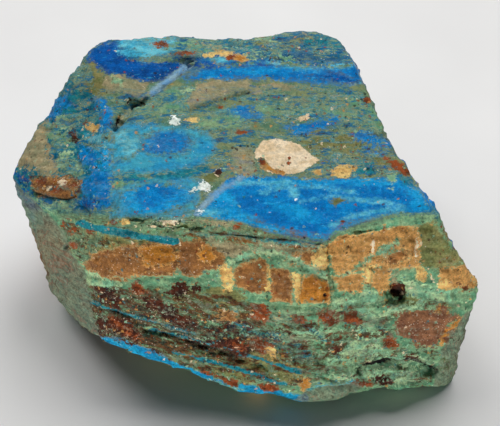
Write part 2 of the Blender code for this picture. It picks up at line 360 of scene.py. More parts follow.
# %% Relief
TOP_OUTLINE = (
    112, 128, 96, 88, 84, 52, 118, 36, 250, 28, 338, 28, 368, 88, 399, 149, 434, 213, 400, 215,
    350, 228, 335, 235, 324, 243, 284, 237, 237, 223, 190, 217, 110, 216,
)
LEFT_OUTLINE = (8, 168, 42, 110, 84, 50, 96, 88, 112, 128, 113, 215, 62, 212, 40, 202, 20, 190)
GREY_LEFT = (
    8, 168, 22, 190, 40, 205, 53, 220, 65, 233, 69, 250, 77, 260, 83, 271, 90, 292, 93, 309,
    96, 326, 101, 341, 84, 350, 40, 300, 4, 200,
)
GREY_RIGHT = (466, 313, 451, 333, 443, 348, 437, 366, 433, 388, 466, 390, 490, 330, 480, 306)
GREY_CHIP = (293, 400, 304, 392, 326, 387, 352, 384, 362, 386, 352, 398, 300, 408)
BED_DIP = math.radians(50)
BED_THICKNESS, BED_WAVE, BED_WAVE_SIZE = 1.5, 0.6, 6.0
STEP_START, STEP_SINK = 0.35, 0.2  # where in a bed its step begins, and its mean height, which is taken off
CELL = 2.6
GRAIN_SIZE, FINE_GRAIN_SIZE = 1.5, 0.6
GRAIN, FINE_GRAIN, CHIP_TILT, STEP = 0.20, 0.09, 0.34, 0.34
SMOOTHER_TOP, SMOOTHER_LEFT, SMOOTHER_GREY = 0.68, 0.1, 0.5

points = np.array([v.co for v in skin.verts])
normals = np.array([v.normal for v in skin.verts])
spots = in_photo(points)
facing = toward_camera(points, normals)
seen = smooth(-0.02, 0.10, facing)


def noise_at(places, size, shift=0.0):
    """Smooth noise from -1 to 1 at each place, with features of about that size in mm."""
    offset = Vector((shift, -shift, 0.5 * shift))
    return np.array([noise.noise(Vector(p) / size + offset) for p in places])


def bed_height(places):
    """Height across the layers, which dip towards the back."""
    return places[:, 2] * math.cos(BED_DIP) + places[:, 1] * math.sin(BED_DIP)


def chip_height(place):
    """Small flat chips: each cell of the rock is a plane with its own tilt."""
    _, centres = noise.voronoi(Vector(place) / CELL)
    tilt = noise.cell_vector(centres[0] * 7.3) - Vector((0.5, 0.5, 0.5))
    return (Vector(place) / CELL - centres[0]).dot(tilt) * 2


on_top = smooth(-1, 0.5, inside(spots, "area", TOP_OUTLINE)) * seen
on_left = smooth(-1, 0.5, inside(spots, "area", LEFT_OUTLINE)) * seen
grey_sets = [inside(spots, "area", outline) for outline in (GREY_LEFT, GREY_RIGHT, GREY_CHIP)]
grey = smooth(-0.25, 0.25, np.max(grey_sets, axis=0)) * seen
rough = 1.0 - SMOOTHER_TOP * on_top - SMOOTHER_LEFT * on_left - SMOOTHER_GREY * grey
beds = bed_height(points) / BED_THICKNESS + BED_WAVE * noise_at(points, BED_WAVE_SIZE, 4.0)
in_step = beds % 1.0 > STEP_START
step = (beds % 1.0 - STEP_START) * in_step - STEP_SINK
chips = np.array([chip_height(p) for p in points])
height = GRAIN * noise_at(points, GRAIN_SIZE) + FINE_GRAIN * noise_at(points, FINE_GRAIN_SIZE, 9.0)
height = (height + CHIP_TILT * chips + STEP * step * (1 - on_top)) * rough
print("relief from", round(height.min(), 2), "to", round(height.max(), 2), "mm")

# %% [markdown]
# The drawn cracks, lips and pits are taken off on top of that. Their lines wander a little with the noise,
# because no crack in a stone is as even as a drawn line. The foot stays flat, and nothing leaves the box
# of the part.

# %% Cut the cracks and move the skin
WANDER, WANDER_SIZE = 1.3, 1.8
NO_CRACK = 2.0  # the distance from a crack that is kept where none is near
# painted shade: a crack this deep is darkened fully, and shallower ones less
FULL_SHADE_DEPTH = 0.7  # the depth of a crack whose darkness counts as 1
LIP_EDGE = 0.25
PIT_SHARE = 0.6
FOOT = 0.25

wander = [noise_at(points, WANDER_SIZE, shift) for shift in (21.0, 37.0)]
wander = np.stack(wander, axis=1) * WANDER
loose = spots + wander
crack_gap = np.full(len(points), NO_CRACK)
crack_shade_near = np.zeros(len(points))
for depth, half_width, *line in CRACKS:
    gap, beside = along_line(loose, line)
    gap = gap * PIXEL
    fade = np.maximum(beside, 1 - smooth(0.0, 0.8, np.abs(gap)) * 0.6)
    height -= depth * np.exp(-((gap / half_width) ** 2)) * fade * seen
    nearer = np.abs(gap) < np.abs(crack_gap)
    crack_gap = np.where(nearer, gap, crack_gap)
    # how much painted shade the crack lays on the colour here
    crack_shade_here = (1 - smooth(0.5, 0.9, np.abs(gap))) * beside * depth / FULL_SHADE_DEPTH * seen
    crack_shade_near = np.maximum(crack_shade_near, crack_shade_here)
for drop, reach, *line in LIPS:
    gap, beside = along_line(loose, line)
    gap = gap * PIXEL
    fall = smooth(0, LIP_EDGE, gap) * (1 - smooth(LIP_EDGE, reach, gap))
    height -= drop * fall * beside * seen
for x, y, radius, depth in PITS:
    gap = np.hypot(loose[:, 0] - x, loose[:, 1] - y) / radius
    height -= PIT_SHARE * depth * (1 - smooth(0.2, 0.95, gap)) * seen

foot = points[:, 2] < FOOT
height[foot] = 0
low, high = (np.array(corner) / MM for corner in cad_box)
moved = np.clip(points + normals * height[:, None], low, high)
moved[foot, 2] = points[foot, 2]
for vert, place in zip(skin.verts, moved):
    vert.co = place
bmesh.ops.scale(skin, vec=(MM,) * 3, verts=skin.verts[:])
bmesh.ops.recalc_face_normals(skin, faces=skin.faces[:])
for face in skin.faces:
    face.smooth = True
skin.to_mesh(stone.data)
skin.free()
print("height now from", round(height.min(), 2), "to", round(height.max(), 2), "mm")

# %% [markdown]
# ## Colours of the rock
# The opal is a mix of a few minerals, and each gives a few named colours. Each has a main tone, a second
# tone that clouds it, how soft its edge is in mm, and how ragged. The order is the order in which they are
# laid over each other: the soft clouds, then the hard grains and joints, and last four that lie over all
# of them.

# %% Palette
PALETTE = {
    "teal": ((18, 100, 122), (34, 124, 130), 1.10, 0.75),
    "slate": ((70, 112, 134), (40, 92, 126), 0.80, 0.60),
    "deep": ((0, 84, 158), (0, 62, 124), 1.20, 0.55),
    "blue": ((0, 126, 190), (0, 104, 172), 1.60, 0.60),
    "sky": ((20, 154, 208), (0, 130, 192), 1.40, 0.65),
    "turquoise": ((104, 190, 204), (58, 160, 190), 1.30, 0.45),
    "sea": ((90, 140, 106), (128, 158, 118), 1.00, 0.70),
    "khaki": ((124, 134, 94), (86, 122, 96), 1.00, 0.80),
    "olive": ((106, 112, 68), (134, 128, 80), 0.70, 0.60),
    "mint": ((162, 186, 140), (114, 162, 128), 0.45, 0.50),
    "sand": ((162, 148, 112), (136, 134, 102), 0.60, 0.50),
    "honey": ((150, 102, 56), (124, 84, 50), 0.30, 0.36),
    "orange": ((178, 118, 46), (152, 98, 42), 0.60, 0.40),
    "amber": ((190, 144, 84), (172, 126, 72), 0.30, 0.36),
    "ochre": ((226, 194, 122), (198, 156, 92), 0.24, 0.28),
    "azure": ((20, 118, 160), (32, 144, 178), 0.25, 0.22),
    "jade": ((26, 110, 124), (34, 126, 136), 0.22, 0.10),
    "maroon": ((84, 44, 30), (54, 35, 30), 0.35, 0.40),
    "rust": ((144, 72, 36), (98, 52, 32), 0.30, 0.36),
    "cream": ((232, 212, 180), (216, 190, 150), 0.10, 0.16),
    # painted shade, not a mineral: laid in the notch, along the arc crack and in pits
    "dark": ((20, 18, 22), (40, 28, 26), 0.12, 0.14),
    "lagoon": ((38, 140, 182), (62, 156, 178), 1.60, 0.40),
    "haze": ((104, 152, 190), (132, 162, 176), 0.80, 0.30),
    "umber": ((134, 92, 64), (116, 78, 58), 0.30, 0.30),
    "white": ((234, 238, 232), (206, 216, 206), 0.06, 0.55),
}
print("colours:", len(PALETTE))

# %% [markdown]
# ## Patches on the top
# From back to front: a mottled strip on the back bevel, a deep blue layer, a khaki one with tan ledges,
# two blue lenses in paler lagoon patches at the left, a cream pebble and a yellow chip, and the bright
# blue front. Hazy pale bands follow two edges: one along the crack at the left, and one along a fracture
# near the front, which is a painted reflection. Sand lines on two small steps are painted highlights, and
# painted shade darkens the notch at the left. There are small clusters of white crystals.
#
# Patches of one colour that follow each other share a row. A lens is its middle, half length, half
# width and, where it is tilted, an angle; a line is its width and its points; an area is its corners.

# %% Top patches
TOP_PATCHES = [
    # colour, kind of shape, then one or more shapes of that kind
    ("khaki", "area", TOP_OUTLINE),
    ("slate", "area", (
        84, 50, 118, 36, 250, 28, 338, 28, 360, 66, 314, 66, 274, 60, 232, 62, 190, 60, 120, 60,
    )),
    ("teal", "area", (176, 38, 250, 36, 262, 46, 250, 54, 214, 56, 180, 52)),
    ("turquoise", "area", (
        118, 46, 126, 39, 153, 36, 178, 36, 176, 47, 169, 54, 156, 59, 143, 61, 131, 57,
    )),
    ("sea", "lens", (196, 47, 22, 6, -6)),
    ("sand", "lens", (222, 51, 14, 4, -8)),
    ("mint", "lens", (264, 36, 13, 4, 4)),
    ("teal", "lens", (262, 44, 24, 3.5)),
    ("slate", "lens", (294, 34, 20, 5, 6)),
    ("sand", "lens", (306, 38, 11, 3.5, 8)),
    ("olive", "lens", (290, 42, 22, 2.4, 4)),
    ("teal", "area", (300, 40, 320, 34, 338, 36, 348, 52, 330, 50, 304, 47)),
    ("mint", "lens", (254, 56, 12, 4)),
    ("mint", "line", (3, 262, 56, 276, 55, 290, 59)),
    ("turquoise", "lens", (222, 60, 10, 3.6, 4)),
    ("ochre", "line", (4, 206, 55, 224, 54, 244, 59)),
    ("orange", "lens", (238, 58, 8, 3.4, -12)),
    ("rust", "lens", (231, 57, 4.4, 3.2, 10), (162, 43, 7.5, 3, 18), (186, 53, 5, 1.6)),
    ("deep", "area", (
        82, 57, 102, 45, 118, 40, 120, 49, 131, 57, 143, 61, 160, 61, 192, 58, 175, 70, 163, 81,
        150, 83, 137, 81, 121, 77, 106, 71, 90, 65,
    )),
    ("blue", "area", (
        190, 72, 205, 66, 228, 65, 250, 62, 274, 61, 300, 66, 330, 67, 358, 63, 366, 84, 352, 88,
        333, 86, 314, 83, 282, 81, 250, 80, 215, 81, 186, 81, 176, 77,
    )),
    ("deep", "line", (3.5, 205, 67, 232, 65, 262, 62, 290, 65)),
    ("slate", "lens", (191, 70, 10, 6, 20)),
    ("sky", "line", (2.5, 200, 74, 232, 72, 262, 70, 292, 69)),
    ("deep", "lens", (340, 79, 20, 5, -10)),
    ("turquoise", "line", (2, 290, 66, 320, 68, 352, 65), (1.4, 236, 64, 262, 61, 290, 65, 330, 67)),
    ("sand", "area", (98, 74, 118, 76, 138, 82, 150, 83, 146, 92, 136, 98, 122, 92, 108, 92)),
    ("mint", "lens", (118, 82, 8, 4.5, -30)),
    ("sea", "lens", (168, 95, 16, 7, 6), (160, 110, 26, 8, 4)),
    ("mint", "line", (2.2, 182, 92, 192, 89, 200, 90)),
    ("sand", "area", (196, 84, 222, 81, 250, 81, 250, 89, 226, 96, 207, 102, 190, 108, 186, 100)),
    ("sand", "lens", (272, 90, 26, 5)),
    # a painted highlight along the edge of a small step
    ("sand", "line", (1.8, 188, 109, 207, 103, 226, 97, 246, 90)),
    ("blue", "area", (229, 110, 238, 104, 256, 102, 270, 108, 262, 118, 240, 123, 228, 119)),
    ("sea", "lens", (218, 122, 26, 9, 8)),
    ("ochre", "lens", (193, 120, 8, 2.6)),
    ("sea", "area", (
        250, 100, 280, 96, 330, 92, 352, 92, 372, 104, 388, 132, 380, 137, 352, 124, 320, 112,
        270, 118,
    )),
    ("khaki", "area", (262, 88, 300, 86, 340, 90, 352, 104, 330, 108, 296, 106, 268, 112)),
    ("sea", "lens", (372, 122, 15, 9, -50)),
    ("blue", "area",
     (280, 127, 303, 119, 322, 117, 336, 112, 344, 117, 340, 123, 322, 130, 312, 136, 296, 136),
     (346, 132, 362, 125, 378, 135, 392, 142, 392, 148, 371, 146, 354, 141)),
    ("blue", "lens", (374, 150, 13, 4, -8)),
    ("olive", "area", (298, 140, 318, 132, 350, 138, 366, 146, 360, 152, 338, 150, 318, 158, 308, 150),
     (318, 160, 350, 152, 378, 156, 396, 166, 402, 176, 380, 178, 330, 178, 300, 178)),
    ("teal", "area", (322, 162, 345, 158, 372, 160, 384, 176, 352, 178)),
    ("lagoon", "area", (
        110, 131, 121, 125, 150, 125, 190, 129, 206, 132, 215, 142, 212, 154, 198, 164, 168, 171,
        113, 175,
    )),
    ("turquoise", "area", (
        112, 134, 121, 128, 136, 129, 141, 138, 139, 150, 130, 160, 114, 164, 112, 152,
    )),
    ("blue", "lens", (167, 143, 26, 13.5, 4)),
    ("teal", "area", (
        112, 172, 140, 172, 180, 168, 214, 158, 222, 164, 210, 177, 186, 181, 160, 183, 112, 185,
    )),
    ("sea", "area", (113, 180, 132, 180, 138, 186, 128, 192, 114, 191)),
    ("lagoon", "area", (113, 192, 130, 185, 180, 178, 203, 182, 197, 206, 184, 217, 112, 218)),
    ("sky", "lens", (146, 211, 34, 5), (154, 198, 38, 16, 5)),
    ("blue", "lens", (157, 195, 22, 9, 5)),
    ("sand", "area", (222, 168, 226, 154, 238, 146, 252, 146, 258, 170, 252, 176, 234, 174)),
    ("olive", "area", (214, 158, 226, 152, 232, 160, 224, 172, 210, 182, 200, 182, 206, 170)),
    ("sky", "area", (
        196, 214, 214, 194, 226, 180, 250, 176, 300, 177, 350, 177, 400, 176, 420, 190, 434, 213,
        400, 215, 376, 219, 350, 228, 335, 235, 324, 243, 284, 237, 237, 223, 196, 218,
    )),
    ("blue", "area", (
        232, 192, 252, 184, 330, 186, 396, 184, 414, 200, 400, 211, 352, 222, 326, 236, 280, 230,
        240, 214,
    )),
    ("sky", "lens", (300, 214, 24, 8, -14)),
    # a painted reflection: a pale streak along a fracture
    ("haze", "line", (5, 197, 214, 208, 200, 224, 187, 242, 178)),
    ("turquoise", "lens", (204, 211, 10, 3)),
    ("turquoise", "line", (1.6, 262, 192, 290, 186, 330, 188, 352, 191),
     (1.4, 300, 202, 330, 196, 372, 200, 404, 206), (1.4, 330, 226, 352, 216, 380, 210, 404, 208),
     (1.2, 236, 182, 256, 184, 290, 181)),
    ("white", "lens", (296, 199, 2.4, 2.4)),
    ("turquoise", "lens", (294, 192, 4.4, 7)),
    ("teal", "area", (398, 176, 410, 176, 418, 188, 404, 186)),
    ("olive", "lens", (337, 201, 5.4, 2.6)),
    ("rust", "lens", (341, 222, 6, 2.4, 20)),
    ("mint", "lens", (392, 180, 2.6, 5.4)),
    ("cream", "area", (
        256, 148, 263, 141, 274, 139, 285, 140, 295, 143, 306, 150, 314, 156, 319, 161, 312, 166,
        303, 171, 291, 174, 280, 175, 268, 171, 259, 166, 255, 158,
    )),
    ("orange", "area", (257, 159, 265, 160, 274, 168, 286, 171, 284, 175, 272, 173, 262, 168)),
    ("rust", "lens", (262, 162, 4.6, 3, -40), (289, 158, 1.8, 1.6), (289, 163, 2, 1.6),
     (312, 161, 1.7, 1.5)),
    ("ochre", "area", (333, 170, 339, 165, 354, 166, 354, 171, 349, 177, 339, 177, 334, 174)),
    ("ochre", "lens", (318, 172, 2.6, 1.8)),
    ("white", "lens", (174, 121, 4.4, 4), (205, 187, 5.6, 4.4, -20), (193, 191, 3, 2.4),
     (200, 212, 2.4, 2.4)),
    ("cream", "lens", (306, 116, 6, 1.6, 22)),
    ("rust", "lens", (367, 101, 4.6, 3.6), (278, 98, 2.6, 2), (220, 107, 3.4, 2.4), (241, 132, 5, 2.2),
     (223, 133, 2.4, 2)),
    ("rust", "area", (384, 158, 394, 158, 402, 162, 411, 173, 408, 176, 397, 170, 389, 164)),
    ("deep", "lens", (383, 167, 5.6, 2.4, -10)),
    ("cream", "lens", (219, 172, 4.6, 4.6)),
    ("maroon", "lens", (219, 172, 3.4, 3.4)),
    # a painted highlight on the lit edge of the step along the crack
    ("sand", "line", (2.6, 111, 130, 121, 118, 130, 108, 140, 99, 150, 93)),
    ("haze", "line", (4.4, 152, 91, 163, 83, 179, 71, 192, 61)),
    # painted shade in the notch and its trench at the left
    ("dark", "line", (1.3, 116, 124, 121, 113, 130, 100), (1.6, 128, 98, 136, 100, 144, 104)),
]

# %% [markdown]
# ## Patches on the left facet
# This steep facet is darker and mottled: blue and teal glass, mint specks, a sandy triangle at the tip and
# a crust of rusty grains above a pale ledge.

# %% Left patches
LEFT_PATCHES = [
    ("teal", "area", LEFT_OUTLINE),
    ("olive", "area", (78, 62, 92, 62, 104, 78, 108, 96, 96, 96, 84, 84)),
    ("khaki", "lens", (86, 76, 6, 10, 20)),
    ("blue", "area", (46, 112, 56, 98, 66, 94, 68, 106, 60, 116, 48, 122)),
    ("teal", "area", (77, 92, 88, 88, 97, 94, 96, 108, 84, 112, 76, 104)),
    ("blue", "area", (99, 98, 108, 100, 114, 112, 112, 128, 102, 132, 98, 116)),
    ("mint", "lens", (63, 122, 6, 7, 30)),
    ("mint", "area", (57, 152, 68, 148, 80, 158, 84, 172, 74, 178, 60, 168)),
    ("turquoise", "area", (88, 134, 100, 130, 112, 134, 110, 146, 98, 146, 90, 144)),
    ("ochre", "lens", (92, 128, 6, 4.4)),
    ("sea", "area", (48, 124, 60, 128, 72, 140, 76, 150, 60, 150, 48, 150)),
    ("blue", "area", (77, 144, 88, 146, 98, 150, 96, 166, 84, 168, 76, 158),
     (84, 180, 96, 170, 112, 172, 112, 208, 98, 212, 82, 206, 80, 192)),
    ("sky", "area", (98, 148, 112, 146, 112, 174, 100, 174)),
    ("deep", "lens", (92, 206, 10, 6)),
    ("sand", "area", (
        46, 112, 48, 143, 50, 158, 64, 174, 53, 173, 32, 170, 14, 167, 10, 163, 24, 145, 37, 126,
    )),
    ("teal", "area", (10, 164, 32, 168, 50, 172, 48, 178, 30, 176, 12, 172)),
    ("deep", "area", (14, 172, 24, 173, 30, 180, 28, 187, 20, 184)),
    ("honey", "area", (30, 177, 48, 176, 66, 178, 80, 182, 76, 194, 60, 198, 40, 194, 30, 186)),
    ("rust", "lens", (42, 182, 5, 4), (55, 190, 5, 4), (74, 183, 3.4, 3)),
    ("cream", "lens", (62, 184, 4.6, 4), (48, 188, 3, 2.4)),
    ("maroon", "lens", (73, 134, 3.4, 5, 20)),
    ("rust", "lens", (85, 122, 2.4, 2)),
    ("mint", "area", (38, 200, 52, 201, 70, 203, 76, 208, 60, 211, 46, 210)),
    ("sea", "area", (22, 190, 34, 196, 40, 202, 52, 211, 66, 216, 60, 222, 46, 214)),
]

# %% [markdown]
# ## Patches on the front
# Below a strip of green and teal runs a band of honey and amber chert in blocks, parted by ochre and
# cream joints. A mint wave rises over it, maroon and rust lenses lie under it, and green rock with thin
# jade streaks fills the rest down to a blue rim. An umber diamond sits at the lower right.

# %% Front patches
FRONT_OUTLINE = (
    40, 204, 62, 213, 112, 216, 190, 217, 237, 223, 284, 237, 324, 243, 335, 235, 350, 228, 400, 215,
    434, 213, 448, 236, 482, 284, 470, 318, 436, 390, 390, 388, 300, 404, 196, 380, 100, 345, 90, 292,
    69, 250, 53, 220,
)
FRONT_PATCHES = [
    ("sea", "area", FRONT_OUTLINE),
    ("khaki", "area", (
        60, 212, 112, 216, 190, 217, 237, 223, 284, 237, 283, 242, 250, 238, 200, 234, 140, 234,
        76, 222,
    )),
    ("teal", "area", (180, 232, 234, 232, 284, 238, 326, 244, 322, 250, 280, 246, 240, 240, 200, 238)),
    ("sea", "area", (
        330, 242, 338, 234, 350, 227, 376, 219, 400, 214, 434, 213, 432, 223, 400, 226, 377, 229,
        350, 233,
    )),
    ("khaki", "area", (
        64, 222, 80, 224, 104, 232, 136, 238, 160, 242, 140, 246, 104, 256, 84, 262, 74, 250,
    )),
    ("olive", "area", (104, 232, 136, 238, 166, 242, 130, 247, 108, 254, 96, 250)),
    ("sand", "area", (200, 236, 250, 242, 284, 246, 320, 250, 300, 256, 262, 252, 236, 258, 226, 256),
     (222, 240, 240, 242, 246, 252, 234, 258, 224, 252)),
    ("olive", "area", (180, 290, 216, 282, 240, 294, 252, 310, 240, 322, 200, 318, 170, 304),
     (252, 345, 290, 350, 306, 366, 300, 380, 270, 378, 244, 372, 232, 360),
     (150, 336, 180, 342, 236, 358, 262, 372, 250, 384, 200, 366, 160, 356, 140, 345)),
    ("teal", "area", (228, 316, 262, 326, 300, 340, 318, 358, 300, 366, 276, 348, 244, 336, 222, 332)),
    ("teal", "line", (5, 120, 300, 150, 320, 190, 330, 224, 336),
     (4, 196, 358, 226, 364, 256, 374, 288, 380)),
    ("mint", "area", (78, 264, 96, 275, 112, 277, 122, 282, 118, 289, 102, 289, 86, 282)),
    ("sea", "area", (183, 276, 204, 274, 218, 272, 220, 288, 200, 292, 184, 286)),
    ("honey", "area", (
        80, 266, 96, 253, 121, 246, 143, 243, 175, 244, 179, 256, 177, 266, 174, 276, 159, 278,
        143, 276, 121, 281, 102, 276, 86, 270,
    )),
    ("orange", "area", (138, 248, 160, 244, 175, 246, 177, 258, 170, 268, 146, 266)),
    ("honey", "area", (
        179, 240, 199, 238, 215, 246, 226, 259, 223, 266, 212, 272, 199, 278, 191, 279, 183, 276,
        177, 266,
    )),
    ("orange", "lens", (206, 254, 10, 9, -40)),
    ("honey", "area", (233, 274, 240, 262, 254, 257, 268, 260, 268, 288, 262, 294, 248, 292, 236, 286),
     (269, 268, 290, 268, 294, 286, 292, 304, 270, 301)),
    ("orange", "area", (
        303, 277, 317, 276, 325, 281, 331, 289, 332, 298, 328, 306, 314, 302, 299, 301, 301, 286,
    )),
    ("honey", "area", (284, 262, 296, 252, 312, 250, 318, 256, 312, 266, 300, 268)),
    ("amber", "area",
     (330, 246, 339, 237, 354, 234, 378, 230, 401, 227, 419, 227, 422, 250, 420, 266, 401, 270,
      382, 267, 371, 268, 352, 271, 339, 273, 331, 270),
     (334, 276, 352, 273, 362, 274, 362, 292, 352, 294, 338, 290),
     (373, 268, 389, 268, 392, 288, 380, 294, 372, 288)),
    ("honey", "lens", (398, 256, 14, 7, 20)),
    ("olive", "area",
     (420, 226, 432, 222, 444, 236, 456, 250, 466, 262, 450, 269, 436, 270, 425, 268, 419, 262),
     (402, 292, 420, 294, 440, 300, 452, 302, 444, 308, 410, 308, 396, 302)),
    ("amber", "area", (438, 270, 452, 266, 466, 264, 478, 284, 468, 288, 452, 288, 440, 282)),
    ("mint", "lens", (302, 333, 13, 5, -12), (334, 356, 13, 6, 8), (356, 330, 10, 5, 20),
     (400, 373, 18, 5), (346, 378, 12, 4)),
    ("teal", "line", (6, 290, 320, 312, 330, 330, 344, 340, 360), (5, 350, 318, 364, 332, 374, 350),
     (5, 374, 322, 388, 334)),
    ("olive", "lens", (358, 346, 12, 5, -20), (420, 378, 9, 4)),
    ("umber", "area", (317, 311, 330, 309, 342, 313, 338, 325, 326, 325, 318, 320)),
    ("rust", "area", (342, 313, 352, 311, 360, 316, 362, 322, 346, 324)),
    ("mint", "line", (7, 231, 262, 250, 255, 269, 252, 290, 257, 304, 267, 317, 273, 330, 280),
     (4.5, 337, 277, 354, 270, 365, 262, 374, 256, 386, 249, 397, 242),
     (7, 334, 300, 352, 303, 362, 314, 378, 318, 394, 312, 416, 308, 442, 302)),
    ("mint", "area", (402, 280, 418, 283, 435, 288, 450, 291, 450, 301, 430, 301, 414, 295, 403, 290),
     (360, 292, 374, 289, 378, 302, 364, 304),
     (334, 346, 350, 336, 376, 334, 396, 348, 420, 356, 430, 364, 408, 362, 386, 361, 358, 368,
      342, 362), (356, 374, 374, 368, 400, 366, 426, 372, 424, 382, 380, 384, 354, 382)),
    ("sea", "area", (376, 332, 396, 338, 404, 350, 380, 352)),
    ("ochre", "area", (218, 267, 226, 264, 234, 272, 235, 282, 230, 291, 223, 288, 220, 278),
     (290, 270, 303, 273, 301, 285, 298, 305, 294, 293, 293, 280),
     (311, 259, 322, 245, 329, 249, 329, 259, 328, 269, 319, 269, 311, 264),
     (416, 267, 426, 268, 427, 281, 420, 281, 415, 274), (435, 283, 450, 280, 451, 289, 440, 289),
     (362, 268, 373, 266, 372, 286, 365, 284)),
    ("sand", "area", (389, 274, 398, 272, 397, 285, 390, 286)),
    ("ochre", "line", (1.6, 268, 268, 269, 282, 266, 298)),
    ("cream", "line", (1.1, 178, 237, 180, 246), (0.8, 373, 238, 372, 256),
     (0.9, 418, 230, 417, 246, 416, 262), (1.7, 427, 268, 432, 278, 437, 284)),
    ("ochre", "line", (2.2, 384, 302, 392, 297, 400, 292)),
    ("maroon", "area", (91, 290, 108, 289, 122, 294, 128, 304, 112, 306, 96, 301)),
    ("maroon", "lens", (179, 289, 10, 7), (195, 288, 5, 3.4)),
    ("rust", "area", (131, 287, 138, 284, 146, 290, 142, 294, 132, 292)),
    ("maroon", "area", (138, 300, 148, 296, 164, 302, 178, 312, 166, 314, 146, 308),
     (160, 314, 180, 316, 198, 322, 196, 330, 174, 326)),
    ("honey", "lens", (228, 318, 10, 6)),
    ("rust", "area", (252, 304, 264, 302, 272, 312, 264, 322, 252, 316)),
    ("maroon", "area", (96, 318, 112, 316, 126, 322, 142, 338, 138, 346, 112, 342, 100, 338)),
    ("rust", "line", (3, 112, 318, 126, 330, 142, 342)),
    ("ochre", "line", (2.6, 98, 336, 106, 340, 116, 338)),
    # painted shade along the arc crack
    ("dark", "line", (4, 360, 370, 371, 365, 387, 361.5, 409, 361.5, 424, 364, 434, 369)),
    ("maroon", "area", (
        188, 340, 199, 336, 223, 337, 239, 336, 251, 347, 246, 352, 236, 355, 223, 349, 204, 345,
    )),
    ("rust", "lens", (238, 346, 8, 5, -10), (300, 320, 5, 3, -20)),
    ("rust", "area", (318, 312, 330, 314, 338, 322, 330, 326, 320, 320)),
    ("umber", "area", (
        393, 317, 409, 312, 425, 307, 445, 305, 448, 315, 462, 318, 449, 337, 435, 348, 417, 345,
        405, 337, 397, 329,
    )),
    ("orange", "area", (450, 320, 462, 318, 452, 333, 441, 346, 438, 340, 444, 330)),
    ("orange", "lens", (440, 309, 5, 4)),
    ("rust", "area", (384, 341, 390, 336, 400, 344, 400, 349, 386, 347)),
    ("rust", "lens", (262, 346, 10, 6, -20)),
    ("ochre", "lens", (270, 352, 6, 5, -30)),
    ("maroon", "lens", (337, 348, 3, 2.6), (385, 381, 6, 3)),
    ("rust", "lens", (360, 383, 10, 2.4)),
    ("maroon", "lens", (410, 358, 4, 2), (397, 291, 7, 8, 22)),
    # painted shade in three pits
    ("dark", "lens", (399, 295, 2.6, 4.6, 22), (325, 295, 2, 2.4), (65, 247, 2.6, 3.4)),
    ("rust", "lens", (466, 288, 3, 2, 30)),
    ("jade", "line", (7, 80, 223, 104, 230, 136, 235, 159, 239, 176, 242)),
    ("rust", "lens", (73, 230, 2.6, 2.4), (74, 246, 3, 2.2), (89, 231, 3.4, 2.2, -20),
     (62, 226, 2.2, 3), (114, 221, 2.6, 2)),
    ("ochre", "lens", (125, 222, 3.4, 3)),
    ("cream", "lens", (170, 223, 8, 3), (154, 226, 4, 2.6)),
    ("sand", "lens", (216, 223, 20, 3, -6)),
    ("rust", "lens", (238, 226, 3, 2.4)),
    ("mint", "line", (3, 230, 330, 260, 334, 290, 344)),
    ("rust", "area", (202, 372, 216, 374, 236, 382, 236, 388, 220, 384),
     (258, 384, 272, 384, 280, 390, 268, 394)),
    ("orange", "area", (300, 380, 308, 378, 310, 390, 302, 394)),
    ("azure", "line", (9, 98, 340, 128, 347, 152, 357, 176, 368, 198, 377, 220, 385),
     (9, 242, 389, 262, 394, 280, 397, 304, 399)),
    ("jade", "line", (3, 92, 302, 112, 310, 140, 318, 168, 326, 196, 334),
     (3.4, 150, 330, 190, 338, 226, 348, 262, 360, 300, 372),
     (3, 172, 352, 214, 362, 250, 373, 286, 385)),
    ("turquoise", "line", (2.4, 200, 378, 222, 385, 244, 389), (2.4, 306, 390, 330, 385, 356, 384)),
]
PATCHES = TOP_PATCHES + LEFT_PATCHES + FRONT_PATCHES
print("patches:", sum(len(shapes) for _, _, *shapes in PATCHES))

# %% [markdown]
# ## Lenses on the hidden sides
# The photo doesn't show the back, the right side or the underside. The same layers run through to them, so
# they get the layer colours of the ramp in the material, and lens-shaped bodies of the same minerals lying
# along the layers. A fixed seed puts them in the same place each time.

# %% Hidden lenses
LENS_SEED = 11
HIDDEN_LENSES = [
    # colour, number, lowest and highest bed, half length, half thickness in mm
    ("honey", 34, -20, 12, 5.0, 1.6),
    ("orange", 12, -12, 10, 2.6, 1.0),
    ("maroon", 22, -24, 6, 3.2, 0.9),
    ("rust", 26, -26, 40, 1.8, 0.6),
    ("mint", 26, -26, 36, 4.4, 0.8),
    ("turquoise", 22, 0, 44, 4.6, 1.2),
    ("blue", 34, 4, 44, 7.0, 1.7),
    ("deep", 20, 6, 44, 6.0, 1.3),
    ("sea", 30, -26, 40, 6.0, 1.6),
    ("sand", 24, 6, 40, 4.0, 0.9),
    ("teal", 24, -26, 40, 6.0, 1.3),
    ("cream", 22, -20, 40, 1.0, 0.5),
    ("ochre", 16, -20, 30, 1.6, 0.7),
]
LENS_REACH, LENS_REACH_BACK = 40, 34  # mm from the middle
LENS_WAVE, LENS_WAVE_SIZE = 0.8, 2.5
FAR_OUTSIDE = -4.0  # the distance that stands for no patch at all
TAKEN_AWAY = 6  # taken off a patch's distance on the sides that it shouldn't cover

order = list(PALETTE)
amount = {name: np.full(len(points), FAR_OUTSIDE) for name in order}


def lay(name, depth_inside):
    """Puts a patch over what is there: its colour grows, and the colours that would cover it draw back."""
    amount[name] = np.maximum(amount[name], depth_inside)
    for other in order[order.index(name) + 1:]:
        amount[other] = np.minimum(amount[other], -depth_inside)


